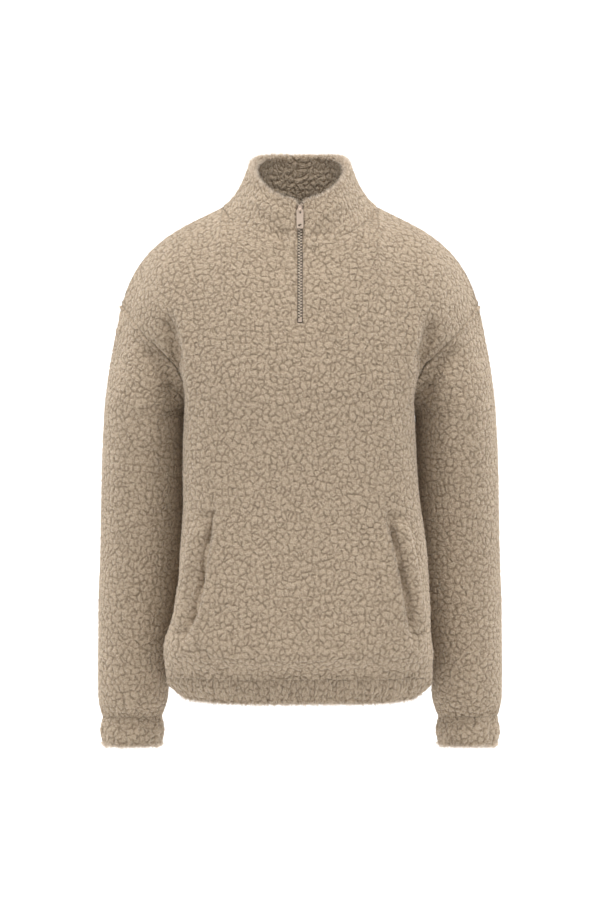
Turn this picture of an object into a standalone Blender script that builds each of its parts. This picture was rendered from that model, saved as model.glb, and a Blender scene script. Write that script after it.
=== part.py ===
"""Sherpa fleece pullover with a stand collar and a half zip, hollow and open, in its worn form.

Metres, +Z up, front towards -Y. The origin is the centre of the neck, level with the points
where the shoulders meet the collar, which is where a wearer holds the garment up.
"""

import math
from collections import namedtuple

import bmesh
import bpy
import numpy as np
from mathutils import Matrix, Vector
from mathutils.bvhtree import BVHTree

# Driving sizes
WALL = 0.005
SEAM_GAP = 0.0003
ZIP_OPENING_HALF = 0.0035
ZIP_OPENING_BOTTOM = -0.1745
BAND_WALL = 0.009
COLLAR_BASE_WALL = 0.007
COLLAR_RIM_WALL = 0.011

# Numbers of grid steps
NECK_STEPS = 5
SHOULDER_STEPS = 8
BODY_STEPS = 13
YOKE_STEPS = 5
CAP_STEPS = 4
LIP_STEPS = 4
HEM_ROW_EASE = 1.25
NECK_SHARE = 0.38
EDGE_SPLIT = (-0.31, 0.52, 0.79)

# Level sections of the body, from the armpit down to the hem seam. Each half of a section runs
# from the centre line to its fold, the widest place, and back in to the side seam, where the
# hanging sleeve presses it.
Section = namedtuple(
    "Section",
    "height front_y front_half front_fold_y side_x side_y back_half back_fold_y back_y",
)
BODY = (
    Section(-0.272, -0.1360, 0.1600, -0.062, 0.1500, 0.012, 0.1560, 0.074, 0.1180),
    Section(-0.333, -0.1345, 0.1625, -0.064, 0.1520, 0.013, 0.1570, 0.072, 0.1150),
    Section(-0.417, -0.1340, 0.1660, -0.066, 0.1545, 0.015, 0.1590, 0.070, 0.1075),
    Section(-0.517, -0.1370, 0.1750, -0.066, 0.1600, 0.018, 0.1640, 0.066, 0.1030),
    Section(-0.581, -0.1390, 0.1820, -0.062, 0.1670, 0.018, 0.1700, 0.064, 0.1060),
    Section(-0.627, -0.1385, 0.1880, -0.056, 0.1740, 0.016, 0.1780, 0.062, 0.1130),
    Section(-0.662, -0.1290, 0.1850, -0.046, 0.1790, 0.014, 0.1790, 0.058, 0.1090),
)
FRONT_FULLNESS = 0.68
BACK_FULLNESS = 0.60
FOLD_FULLNESS = 0.62
PRESS_FULLNESS = 0.45

# Level sections of the left sleeve, from below the armhole to the cuff seam
SleeveSection = namedtuple("SleeveSection", "height inner_x outer_x centre_y half_depth")
SLEEVE = (
    SleeveSection(-0.300, 0.1620, 0.2750, 0.015, 0.0660),
    SleeveSection(-0.351, 0.1620, 0.2777, 0.018, 0.0640),
    SleeveSection(-0.419, 0.1635, 0.2796, 0.022, 0.0610),
    SleeveSection(-0.496, 0.1660, 0.2813, 0.027, 0.0590),
    SleeveSection(-0.560, 0.1715, 0.2838, 0.030, 0.0580),
    SleeveSection(-0.618, 0.1800, 0.2845, 0.033, 0.0560),
    SleeveSection(-0.670, 0.1855, 0.2848, 0.035, 0.0530),
    SleeveSection(-0.700, 0.1875, 0.2840, 0.036, 0.0490),
    SleeveSection(-0.7215, 0.1950, 0.2790, 0.037, 0.0400),
)
SLEEVE_ROWS = 14
SLEEVE_ROW_EASE = 1.35
SLEEVE_HEAD_FLARE = 0.22

# Seam lines of the left half, as control points and as points that the seam passes through
NECK_POINT = (0.108, 0.004, -0.006)
FRONT_NECKLINE = ((0.0, -0.0925, -0.076), (0.045, -0.0925, -0.060), (0.093, -0.070, -0.045), NECK_POINT)
BACK_NECKLINE = ((0.0, 0.066, 0.004), (0.050, 0.066, 0.004), (0.101, 0.045, 0.008), NECK_POINT)
SLEEVE_HEAD = (0.250, 0.002, -0.1442)
SHOULDER_SEAM = (NECK_POINT, (0.165, 0.004, -0.036), (0.227, 0.003, -0.054), SLEEVE_HEAD)
ARMPIT = (0.150, 0.012, -0.272)
FRONT_ARMHOLE = (
    ARMPIT,
    (0.161, -0.035, -0.2546),
    (0.178, -0.055, -0.2325),
    (0.200, -0.058, -0.2080),
    (0.221, -0.045, -0.1830),
    SLEEVE_HEAD,
)
BACK_ARMHOLE = (
    ARMPIT,
    (0.160, 0.045, -0.2560),
    (0.180, 0.063, -0.2350),
    (0.202, 0.065, -0.2100),
    (0.222, 0.050, -0.1850),
    SLEEVE_HEAD,
)

# Directions in which each panel reaches its top edge, at the centre line, the neck point and on the shoulder
FRONT_RISE = ((0.0, 0.42, 0.90), (-0.12, 0.90, 0.42), (0.0, 1.0, 0.0))
BACK_RISE = ((0.0, -0.45, 0.90), (-0.12, -0.90, 0.42), (0.0, -1.0, 0.0))
RISE_LENGTH = 0.8
FRONT_SHOULDER_LENGTH = 0.86
BACK_SHOULDER_LENGTH = 1.1
RISE_BLEND_STEPS = 5
FRONT_EASE_PASSES = 3
BACK_EASE_PASSES = 10
EASE_FADE = 0.30
ARMHOLE_REACH = 0.5

# Collar: the rim is an ellipse that rises towards the back
RIM_HALF_WIDTH = 0.0725
RIM_CENTRE_Y = -0.007
RIM_HALF_DEPTH = 0.069
RIM_FRONT_HEIGHT = -0.0075
RIM_RISE = 0.037
RIM_SIDE_LIFT = 0.017
RIM_BACK_SQUARENESS = 0.75
COLLAR_ROWS = (0.0, 0.14, 0.32, 0.52, 0.74, 1.0)
Lean = namedtuple("Lean", "front side back")
COLLAR_BASE_LEAN = Lean(13.0, 56.0, 10.0)
COLLAR_RIM_LEAN = Lean(13.0, 20.0, 8.0)

# Folded bands at hem and cuffs: how far each row lies below the seam, and how far it puffs out
BandRow = namedtuple("BandRow", "drop puff")
HEM_BAND = (
    BandRow(0.0, 0.0),
    BandRow(0.005, 0.0018),
    BandRow(0.013, 0.0016),
    BandRow(0.021, -0.0008),
    BandRow(0.0285, -0.0050),
)
CUFF_BAND = (
    BandRow(0.0, 0.0),
    BandRow(0.006, 0.0020),
    BandRow(0.015, 0.0030),
    BandRow(0.027, 0.0028),
    BandRow(0.0390, 0.0005),
)

# Gathers in the folded bands, as ripples round them that fade towards the seam
BAND_SPLIT = 2
GATHER_FADE = 0.008
Gathers = namedtuple("Gathers", "count second_count depth")
HEM_GATHERS = Gathers(46, 29, 0.0010)
CUFF_GATHERS = Gathers(15, 9, 0.0008)
FIRST_RIPPLE = 0.6

# Soft troughs in the yoke beside the armhole: place as shares of the way out and up
Trough = namedtuple("Trough", "across across_reach up up_reach depth")
FRONT_TROUGH = Trough(0.86, 0.14, 0.22, 0.34, 0.0050)
BACK_TROUGH = Trough(0.84, 0.16, 0.25, 0.36, 0.0035)

# Left pocket welt: a slanted strip, sewn along its inner edge
WeltRow = namedtuple("WeltRow", "height inner_x outer_x")
WELT = (
    WeltRow(-0.4430, 0.1200, 0.1450),
    WeltRow(-0.4750, 0.1285, 0.1535),
    WeltRow(-0.5060, 0.1350, 0.1600),
    WeltRow(-0.5400, 0.1436, 0.1660),
    WeltRow(-0.5670, 0.1490, 0.1700),
    WeltRow(-0.5950, 0.1565, 0.1715),
)
WELT_STEPS_ALONG = 12
WELT_STEPS_ACROSS = 5
WELT_LIFT = 0.0007
WELT_THICKNESS = 0.0065
WELT_EDGE = 0.35
WELT_END_STEEPNESS = 8.0

# Zip, as depths below the outer face of the cloth beside it
CHAIN_HALF_WIDTH = 0.0025
CHAIN_TOP_DEPTH = 0.0032
CHAIN_BOTTOM_DEPTH = 0.0053
TAPE_TOP_DEPTH = 0.0056
TAPE_BOTTOM_DEPTH = 0.0062
TAPE_SPLIT_HALF = 0.00015
TAPE_AROUND_POST = 0.0014
TAPE_NARROW_HALF = 0.0032
TAPE_WIDE_HALF = 0.0110
ZIP_TOP = -0.0085
ZIP_CHAIN_BOTTOM = -0.1672
ZIP_CHAIN_TOP = -0.0157
ZIP_POST_BOTTOM = -0.0149
ZIP_STOP_BOTTOM = -0.1728
NECK_TAPE_STEPS = (-0.0005, 0.0012)
STOP_RAISED = 0.0006
BOTTOM_STOP_HALF = 0.0025
TOP_STOP = (-0.0103, -0.0089)
TOP_STOP_EDGE = 0.0029

# Slider and pull tab, in the frame of the hinge: along the zip, and out of it
HINGE_HEIGHT = -0.0185
HINGE_OUT = 0.0023
SLIDER_HALF_WIDTH = 0.0031
SLIDER_TOP = -0.0080
SLIDER_BOTTOM = 0.0008
SLIDER_FRONT_OUT = (-0.0029, -0.0008)
SLIDER_BACK_OUT = (-0.0077, -0.0066)
POST_HALF_WIDTH = 0.0009
POST_ALONG = (-0.0078, -0.0040)
BAIL_HALF_WIDTH = 0.0010
BAIL_OUTER_RADIUS = 0.0024
BAIL_INNER_RADIUS = 0.0013
BAIL_BAR_OUT = (0.0009, 0.0025)
BAIL_FOOT_ALONG = (-0.0078, -0.0058)
JOIN_OVERLAP = 0.0006
ROUND_STEPS = 20

TAB_HALF_WIDTH = 0.0047
TAB_LENGTH = 0.0275
TAB_THICKNESS = 0.0015
TAB_TOP = -0.0008
TAB_CORNER = 0.0015
TAB_SLOT_HALF = 0.0015
TAB_SLOT = (0.0008, 0.0053)
TAB_LOWER_SLOT_HALF = 0.0025
TAB_LOWER_SLOT = (0.0205, 0.0235)
TAB_SLOT_CORNER = 0.0006
TAB_LOWER_SLOT_CORNER = 0.00125

SHERPA_COLOUR = (0.455, 0.352, 0.250)
TAPE_COLOUR = (0.250, 0.190, 0.135)
CHAIN_COLOUR = (0.330, 0.255, 0.190)
METAL_COLOUR = (0.480, 0.360, 0.270)


def clear_scene():
    """Remove every object that the file opened with."""
    for thing in list(bpy.data.objects):
        bpy.data.objects.remove(thing)


def material(name, colour, roughness, metallic=0.0):
    """A plain Principled material."""
    made = bpy.data.materials.new(name)
    made.use_nodes = True
    shader = made.node_tree.nodes["Principled BSDF"]
    shader.inputs["Base Color"].default_value = (*colour, 1.0)
    shader.inputs["Roughness"].default_value = roughness
    shader.inputs["Metallic"].default_value = metallic
    made.diffuse_color = (*colour, 1.0)
    return made


# Curves


def unit(vectors):
    """The vectors at length 1."""
    vectors = np.asarray(vectors, float)
    return vectors / np.linalg.norm(vectors, axis=-1, keepdims=True)


def smoothstep(value):
    """0 below 0, 1 above 1, and a smooth rise between."""
    value = np.clip(value, 0.0, 1.0)
    return value * value * (3.0 - 2.0 * value)


def bezier(controls, steps=60):
    """Points along a cubic Bezier curve."""
    first, second, third, last = (np.asarray(point, float) for point in controls)
    share = np.linspace(0.0, 1.0, steps)[:, None]
    rest = 1.0 - share
    return (
        rest**3 * first
        + 3.0 * rest**2 * share * second
        + 3.0 * rest * share**2 * third
        + share**3 * last
    )


def hermite(start, end, start_pull, end_pull, share):
    """Points between two ends, with a tangent at each."""
    square, cube = share**2, share**3
    return (
        (2 * cube - 3 * square + 1) * start
        + (cube - 2 * square + share) * start_pull
        + (3 * square - 2 * cube) * end
        + (cube - square) * end_pull
    )


def smooth_values(knots, values, wanted):
    """A smooth curve through a table's values, read at the wanted places. The knots rise."""
    knots, values = np.asarray(knots, float), np.asarray(values, float)
    slopes = np.gradient(values, knots, axis=0)
    wanted = np.atleast_1d(wanted)
    left = np.clip(np.searchsorted(knots, wanted, side="right") - 1, 0, len(knots) - 2)
    width = knots[left + 1] - knots[left]
    share = (wanted - knots[left]) / width
    if values.ndim > 1:
        width, share = width[:, None], share[:, None]
    return hermite(values[left], values[left + 1], slopes[left] * width, slopes[left + 1] * width, share)


def lengths_along(points):
    """The distance of each point from the first, along the curve."""
    return np.concatenate([[0.0], np.cumsum(np.linalg.norm(np.diff(points, axis=0), axis=1))])


def resample(points, shares):
    """The points at the given shares of the curve's length."""
    lengths = lengths_along(points)
    wanted = np.asarray(shares) * lengths[-1]
    return np.stack([np.interp(wanted, lengths, points[:, axis]) for axis in range(3)], axis=1)


def curve_through(points, shares):
    """A smooth curve through the points, read at the given shares of its length."""
    points = np.asarray(points, float)
    knots = lengths_along(points)
    dense = smooth_values(knots, points, np.linspace(0.0, knots[-1], 120))
    return resample(dense, shares)


# Body panels


def table_at(rows, height):
    """One row of a table of level sections, read at any height."""
    rising = sorted(rows)
    knots = [row.height for row in rising]
    values = [row[1:] for row in rising]
    return type(rows[0])(height, *smooth_values(knots, values, height)[0])


def half_section(height, front):
    """Half of a level section, from the centre line to the side seam, as a dense curve."""
    row = table_at(BODY, height)
    centre_y = row.front_y if front else row.back_y
    fold_x = row.front_half if front else row.back_half
    fold_y = row.front_fold_y if front else row.back_fold_y
    fullness = FRONT_FULLNESS if front else BACK_FULLNESS
    press = (row.side_y - fold_y) * PRESS_FULLNESS
    to_fold = bezier(
        (
            (0.0, centre_y, height),
            (fold_x * fullness, centre_y, height),
            (fold_x, fold_y + (centre_y - fold_y) * FOLD_FULLNESS, height),
            (fold_x, fold_y, height),
        )
    )
    to_seam = bezier(
        (
            (fold_x, fold_y, height),
            (fold_x, fold_y + press, height),
            (row.side_x, row.side_y - press, height),
            (row.side_x, row.side_y, height),
        )
    )
    return np.concatenate([to_fold, to_seam[1:]])


def column_shares(first):
    """Shares of a half section at which the panel's columns stand. The first may leave the zip's opening."""
    neck = np.linspace(first, NECK_SHARE, NECK_STEPS + 1)
    shoulder = np.linspace(NECK_SHARE, 1.0, SHOULDER_STEPS + 1)
    return np.concatenate([neck, shoulder[1:]])


def panel_row(height, front):
    """The columns' points on one level section."""
    curve = half_section(height, front)
    start = ZIP_OPENING_HALF if front else 0.0
    row = resample(curve, column_shares(start / lengths_along(curve)[-1]))
    row[0, 0] = start
    return row


def top_edge(front):
    """The columns' points on the neckline and the shoulder seam."""
    neckline = bezier(FRONT_NECKLINE if front else BACK_NECKLINE)
    start = ZIP_OPENING_HALF if front else 0.0
    first = start / lengths_along(neckline)[-1]
    neck = resample(neckline, np.linspace(first, 1.0, NECK_STEPS + 1))
    neck[0, 0] = start
    shoulder = resample(bezier(SHOULDER_SEAM), np.linspace(0.0, 1.0, SHOULDER_STEPS + 1))
    return np.concatenate([neck, shoulder[1:]])


def rise_directions(front):
    """For each column, the direction in which the panel reaches its top edge."""
    centre, neck, shoulder = (np.array(way) for way in (FRONT_RISE if front else BACK_RISE))
    ways = []
    for column in range(NECK_STEPS + SHOULDER_STEPS + 1):
        on_neck = smoothstep(column / NECK_STEPS)
        on_shoulder = smoothstep((column - NECK_STEPS) / RISE_BLEND_STEPS)
        way = centre + (neck - centre) * on_neck
        ways.append(way + (shoulder - way) * on_shoulder)
    return unit(ways)


def yoke_patch(front, shares):
    """The panel between the armpit's level and its top edge, at the given shares of the way up."""
    level = BODY[0].height
    base = panel_row(level, front)
    below = panel_row(level - 0.01, front)
    top = top_edge(front)
    reach = np.linalg.norm(top - base, axis=1)[:, None]
    start_pull = unit(base - below) * reach
    on_shoulder = smoothstep(np.arange(len(base)) / NECK_STEPS)[:, None]
    shoulder_length = FRONT_SHOULDER_LENGTH if front else BACK_SHOULDER_LENGTH
    length = RISE_LENGTH + (shoulder_length - RISE_LENGTH) * on_shoulder
    end_pull = rise_directions(front) * reach * length
    armhole = curve_through(FRONT_ARMHOLE if front else BACK_ARMHOLE, shares)
    out = np.linspace(0.0, 1.0, len(base))
    blend = smoothstep((out - ARMHOLE_REACH) / (1.0 - ARMHOLE_REACH))
    trough = FRONT_TROUGH if front else BACK_TROUGH
    inward = trough.depth if front else -trough.depth
    across = smoothstep(1.0 - np.abs(out - trough.across) / trough.across_reach)
    rows = []
    for share, edge in zip(shares, armhole):
        row = hermite(base, top, start_pull, end_pull, share)
        row = row + blend[:, None] * (edge - row[-1])
        row[:, 1] = evened(row[:, 1], share, FRONT_EASE_PASSES if front else BACK_EASE_PASSES)
        row[:, 1] += inward * across * smoothstep(1.0 - abs(share - trough.up) / trough.up_reach)
        rows.append(row)
    return np.array(rows)


def evened(depths, share, passes):
    """A yoke row's depths with their steps evened out, less so towards the yoke's bottom and top."""
    even = depths.copy()
    for _ in range(passes):
        even[1:-1] = (even[:-2] + 2.0 * even[1:-1] + even[2:]) / 4.0
    strength = smoothstep(share / EASE_FADE) * smoothstep((1.0 - share) / EASE_FADE)
    return depths + (even - depths) * strength


def share_at_opening_bottom():
    """The share of the way up the yoke at which the centre line passes the zip's lower end."""
    low, high = 0.0, 1.0
    for _ in range(40):
        middle = (low + high) / 2.0
        if yoke_patch(True, [middle])[0, 0, 2] < ZIP_OPENING_BOTTOM:
            low = middle
        else:
            high = middle
    return low


def half_panel(front):
    """Grid of the left half of a panel: rows from the hem seam up, columns from the centre out."""
    shares = np.linspace(0.0, 1.0, BODY_STEPS + 1) ** HEM_ROW_EASE
    heights = BODY[-1].height + (BODY[0].height - BODY[-1].height) * shares
    opening = share_at_opening_bottom()
    yoke = np.concatenate(
        [np.linspace(0.0, opening, YOKE_STEPS + 1)[1:], np.linspace(opening, 1.0, YOKE_STEPS + 1)[1:]]
    )
    body = np.array([panel_row(height, front) for height in heights])
    return np.concatenate([body, yoke_patch(front, yoke)])


def mirrored(points):
    """The same points on the right side."""
    return points * np.array([-1.0, 1.0, 1.0])


def whole_panel(half, split):
    """Both halves side by side, right to left. A panel with no split shares its centre column."""
    right = mirrored(half)[:, ::-1]
    return np.concatenate([right, half if split else half[:, 1:]], axis=1)


# Sleeves


def sleeve_ring(height, angles):
    """The sleeve's points at one level."""
    row = table_at(SLEEVE, height)
    centre_x = (row.inner_x + row.outer_x) / 2.0
    half_width = (row.outer_x - row.inner_x) / 2.0
    return np.stack(
        [
            centre_x + half_width * np.cos(angles),
            row.centre_y + row.half_depth * np.sin(angles),
            np.full(len(angles), height),
        ],
        axis=1,
    )


def sleeve_angles(armhole, front_count):
    """Where each armhole point sits round the sleeve: the armpit inside, the sleeve head outside."""
    front = lengths_along(armhole[:front_count])
    back = lengths_along(np.concatenate([armhole[front_count - 1 :], armhole[:1]]))
    around = np.concatenate([front / front[-1], 1.0 + back[1:-1] / back[-1]])
    return math.pi + math.pi * around


def left_sleeve(front_half, back_half):
    """Grid of the left sleeve: rows from the armhole down, columns round it from the armpit."""
    front_edge = front_half[BODY_STEPS:, -1]
    back_edge = back_half[BODY_STEPS:, -1]
    armhole = np.concatenate([front_edge, back_edge[-2:0:-1]])
    angles = sleeve_angles(armhole, len(front_edge))
    level = SLEEVE[0].height
    ring = sleeve_ring(level, angles)
    reach = np.linalg.norm(ring - armhole, axis=1)[:, None]
    outward = np.maximum(np.cos(angles), 0.0)[:, None]
    start_pull = unit(np.array([0.0, 0.0, -1.0]) + outward * np.array([SLEEVE_HEAD_FLARE, 0.0, 0.0])) * reach
    end_pull = unit(sleeve_ring(level - 0.01, angles) - ring) * reach
    rows = [
        hermite(armhole, ring, start_pull, end_pull, share) for share in np.linspace(0.0, 1.0, CAP_STEPS + 1)
    ]
    length = SLEEVE[0].height - SLEEVE[-1].height
    for row in range(SLEEVE_ROWS - 1, -1, -1):
        above_cuff = length * (row / SLEEVE_ROWS) ** SLEEVE_ROW_EASE
        rows.append(sleeve_ring(SLEEVE[-1].height + above_cuff, angles))
    return np.array(rows)


# Bands and collar


def split_ring(ring, parts):
    """A closed ring with each step split into equal parts."""
    after = np.roll(ring, -1, axis=0)
    steps = [ring + (after - ring) * part / parts for part in range(parts)]
    return np.stack(steps, axis=1).reshape(-1, 3)


def band_grid(seam, rows, gathers):
    """Grid of a folded band's outer face, from its seam down, round a closed seam."""
    seam = split_ring(seam, BAND_SPLIT)
    around = np.roll(seam, -2, axis=0) - np.roll(seam, 2, axis=0)
    outward = unit(np.stack([around[:, 1], -around[:, 0], np.zeros(len(seam))], axis=1))
    turn = np.linspace(0.0, 2.0 * math.pi, len(seam), endpoint=False)
    ripple = FIRST_RIPPLE * np.sin(gathers.count * turn)
    ripple += (1.0 - FIRST_RIPPLE) * np.sin(gathers.second_count * turn)
    grid = []
    for row in rows:
        below_seam = smoothstep(row.drop / GATHER_FADE)
        puff = row.puff + gathers.depth * ripple * below_seam
        grid.append(seam + outward * puff[:, None] - np.array([0.0, 0.0, row.drop]))
    return np.array(grid)


def blended_lean(lean, angle):
    """The collar's lean towards the neck at an angle round it, 0 at the front."""
    ahead = lean.front if math.cos(angle) > 0.0 else lean.back
    return math.radians(ahead + (lean.side - ahead) * math.sin(angle) ** 2)


def collar_column(base, angle, left):
    """One column of the collar's outer face, from the neckline to the rim."""
    side = 1.0 if left else -1.0
    squareness = 1.0 if math.cos(angle) > 0.0 else RIM_BACK_SQUARENESS
    rim = np.array(
        [
            side * RIM_HALF_WIDTH * abs(math.sin(angle)) ** squareness,
            RIM_CENTRE_Y - RIM_HALF_DEPTH * math.cos(angle),
            RIM_FRONT_HEIGHT + RIM_RISE * (1.0 - math.cos(angle)) + RIM_SIDE_LIFT * math.sin(angle) ** 2,
        ]
    )
    if angle == 0.0:
        rim[0] = side * ZIP_OPENING_HALF
    inward = np.array([-side * math.sin(angle), math.cos(angle), 0.0])
    up = np.array([0.0, 0.0, 1.0])
    pulls = []
    for lean in (COLLAR_BASE_LEAN, COLLAR_RIM_LEAN):
        slope = blended_lean(lean, angle)
        pulls.append((inward * math.sin(slope) + up * math.cos(slope)) * np.linalg.norm(rim - base))
    return [hermite(base, rim, *pulls, share) for share in COLLAR_ROWS]


def collar_grid(front_half, back_half):
    """Grid of the collar's outer face: rows from neckline to rim, columns round from the right of the zip."""
    front = front_half[-1, : NECK_STEPS + 1]
    back = back_half[-1, NECK_STEPS - 1 :: -1]
    left = np.concatenate([front, back])
    angles = np.linspace(0.0, math.pi, len(left))
    left_columns = [collar_column(point, angle, True) for point, angle in zip(left, angles)]
    right_columns = [collar_column(point, angle, False) for point, angle in zip(mirrored(left), angles)]
    columns = right_columns + left_columns[-2::-1]
    return np.swapaxes(np.array(columns), 0, 1)


# Walls


def grid_normals(grid, ring):
    """Outward or inward unit normals of a grid, from its neighbours."""
    down = np.gradient(grid, axis=0)
    if ring:
        around = np.roll(grid, -1, axis=1) - np.roll(grid, 1, axis=1)
    else:
        around = np.gradient(grid, axis=1)
    return unit(np.cross(around, down))


def point_key(point):
    """A point's place to a hundredth of a millimetre."""
    return tuple(int(round(value)) for value in np.asarray(point) * 1e5)


def share_seam_normals(grids, normals):
    """Give each point that several pieces share the mean of their normals.

    At the armpit the body and the sleeve face each other, so the outside lies straight below it.
    """
    sums = {}
    for name, grid in grids.items():
        for index in np.ndindex(grid.shape[:2]):
            key = point_key(grid[index])
            sums[key] = sums.get(key, 0.0) + normals[name][index]
    for side in (-1.0, 1.0):
        sums[point_key((side * ARMPIT[0], *ARMPIT[1:]))] = np.array([0.0, 0.0, -1.0])
    for name, grid in grids.items():
        for index in np.ndindex(grid.shape[:2]):
            normals[name][index] = unit(sums[point_key(grid[index])])


def seam_shift(grid, normal, ring):
    """How far each point moves so that every edge ends half a seam gap before its seam."""
    shift = np.zeros_like(grid)
    half = SEAM_GAP / 2.0
    edges = [((0,), (1,)), ((-1,), (-2,))]
    if not ring:
        whole = slice(None)
        edges += [((whole, 0), (whole, 1)), ((whole, -1), (whole, -2))]
    for edge, beside in edges:
        line = grid[edge]
        if ring:
            along = np.roll(line, -1, axis=0) - np.roll(line, 1, axis=0)
        else:
            along = np.gradient(line, axis=0)
        across = unit(np.cross(normal[edge], along))
        towards = np.sum(across * (grid[beside] - line), axis=1, keepdims=True)
        shift[edge] += across * np.sign(towards) * half
    return shift


def lip_rows(outer, inner):
    """A half round edge that closes the last rows of a wall."""
    across = (outer[-1] - inner[-1]) / 2.0
    middle = (outer[-1] + inner[-1]) / 2.0
    along = unit(outer[-1] - outer[-2])
    along = unit(along - np.sum(along * unit(across), axis=1)[:, None] * unit(across))
    radius = np.linalg.norm(across, axis=1)[:, None]
    rows = []
    for step in range(1, LIP_STEPS):
        angle = math.pi * step / LIP_STEPS
        rows.append(middle + across * math.cos(angle) + along * radius * math.sin(angle))
    return np.array(rows)


def add_object(name, bm, shader, collection):
    """Finish a bmesh as a named, smooth object."""
    bmesh.ops.recalc_face_normals(bm, faces=bm.faces)
    mesh = bpy.data.meshes.new(name)
    bm.to_mesh(mesh)
    bm.free()
    mesh.materials.append(shader)
    mesh.shade_smooth()
    mesh.set_sharp_from_angle(angle=math.radians(50.0))
    made = bpy.data.objects.new(name, mesh)
    collection.objects.link(made)
    return made


def add_wall(name, outer, inner, shader, collection, ring=False, lip=False, opening=None):
    """A closed wall between two grids. opening is (first row, column) of a slit left open to the top."""
    rows, columns = outer.shape[:2]
    bm = bmesh.new()
    front = [[bm.verts.new(point) for point in row] for row in outer]
    back = [[bm.verts.new(point) for point in row] for row in inner]
    lips = [[bm.verts.new(point) for point in row] for row in lip_rows(outer, inner)] if lip else []
    cells_across = columns if ring else columns - 1

    def is_cell(row, column):
        if not 0 <= row < rows - 1:
            return False
        if not ring and not 0 <= column < cells_across:
            return False
        return opening is None or column != opening[1] or row < opening[0]

    for row in range(rows - 1):
        for column in range(cells_across):
            if not is_cell(row, column):
                continue
            after = (column + 1) % columns
            corners = ((row, column), (row, after), (row + 1, after), (row + 1, column))
            bm.faces.new([front[r][c] for r, c in corners])
            bm.faces.new([back[r][c] for r, c in reversed(corners)])
            neighbours = ((row - 1, column), (row, column + 1), (row + 1, column), (row, column - 1))
            for side, neighbour in enumerate(neighbours):
                if ring:
                    neighbour = (neighbour[0], neighbour[1] % columns)
                if is_cell(*neighbour):
                    continue
                first, second = corners[side], corners[(side + 1) % 4]
                if lip and side == 2:
                    close_lip(bm, front, back, lips, first[1], second[1])
                else:
                    close_edge(bm, front, back, first, second)
    if lip and not ring:
        for column in (0, columns - 1):
            bm.faces.new([front[-1][column]] + [row[column] for row in lips] + [back[-1][column]])
    return add_object(name, bm, shader, collection)


def split_order(point):
    """Which end of an edge's split comes first, the same on the left and the right."""
    return abs(point.x) * EDGE_SPLIT[0] + point.y * EDGE_SPLIT[1] + point.z * EDGE_SPLIT[2]


def close_edge(bm, front, back, first, second):
    """Two triangles over one step of a square edge, split the same way on both sides of a seam."""
    ends = [(front[r][c], back[r][c]) for r, c in (first, second)]
    low, high = sorted(ends, key=lambda end: split_order(end[0].co))
    bm.faces.new((low[0], high[0], high[1]))
    bm.faces.new((low[0], high[1], low[1]))


def close_lip(bm, front, back, lips, first, second):
    """Faces over one step of a half round edge."""
    chain = [front[-1], *lips, back[-1]]
    for upper, lower in zip(chain, chain[1:]):
        bm.faces.new([upper[first], upper[second], lower[second], lower[first]])


def walls_of(grid, normal, thickness, ring):
    """Outer and inner grid of a wall, its edges drawn back from the seams."""
    shift = seam_shift(grid, normal, ring)
    return grid + shift, grid - normal * thickness + shift


# Pocket welts


def add_welt(name, side, panel, shader, collection):
    """A puffy strip that follows the panel under it. side is 1 on the left and -1 on the right."""
    surface = BVHTree.FromObject(panel, bpy.context.evaluated_depsgraph_get())
    heights = np.linspace(WELT[0].height, WELT[-1].height, WELT_STEPS_ALONG + 1)
    base, top = [], []
    for height in heights:
        row = table_at(WELT, height)
        for step in range(WELT_STEPS_ACROSS + 1):
            across = step / WELT_STEPS_ACROSS
            x = side * (row.inner_x + (row.outer_x - row.inner_x) * across)
            place, normal, _, _ = surface.ray_cast(Vector((x, -1.0, height)), Vector((0.0, 1.0, 0.0)))
            along = (height - heights[0]) / (heights[-1] - heights[0])
            crown = math.sqrt(
                math.sin(math.pi * across) * min(1.0, WELT_END_STEEPNESS * math.sin(math.pi * along))
            )
            rise = WELT_THICKNESS * (WELT_EDGE + (1.0 - WELT_EDGE) * crown)
            base.append(place + normal * WELT_LIFT)
            top.append(place + normal * (WELT_LIFT + rise))
    shape = (WELT_STEPS_ALONG + 1, WELT_STEPS_ACROSS + 1, 3)
    outer = np.array(top).reshape(shape)
    inner = np.array(base).reshape(shape)
    return add_wall(name, outer, inner, shader, collection)


# Zip


def zip_line(panel, panel_normals, collar, collar_normals):
    """Points and normals on the cloth's outer face beside the zip, from its lower end to the rim."""
    left = panel.shape[1] // 2
    first = BODY_STEPS + YOKE_STEPS - 1
    points = np.concatenate([panel[first:, left], collar[1:, -1]])
    normals = np.concatenate([panel_normals[first:, left], collar_normals[1:, -1]])
    points[:, 0] = 0.0
    normals[:, 0] = 0.0
    return points, unit(normals)


def line_between(line, bottom, top, extra=()):
    """The zip line's points between two heights, ends included."""
    points, normals = line
    heights = points[:, 2]
    inside = heights[(heights > bottom + 1e-4) & (heights < top - 1e-4)]
    wanted = np.unique(np.concatenate([[bottom], inside, extra, [top]]))
    read = [np.interp(wanted, heights, column) for column in (*points.T, *normals.T)]
    return np.stack(read[:3], axis=1), unit(np.stack(read[3:], axis=1))


def add_strip(name, line, inner_x, outer_x, depths, shader, collection):
    """A flat strip along the zip, between two distances from its centre and two depths."""
    points, normals = line
    inner_x = np.broadcast_to(inner_x, len(points))
    outer_x = np.broadcast_to(outer_x, len(points))
    across = np.array([1.0, 0.0, 0.0])
    faces = []
    for depth in depths:
        middle = points - normals * depth
        sides = [middle + across * x[:, None] for x in (inner_x, outer_x)]
        faces.append(np.stack(sides, axis=1))
    return add_wall(name, faces[0], faces[1], shader, collection)


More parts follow.
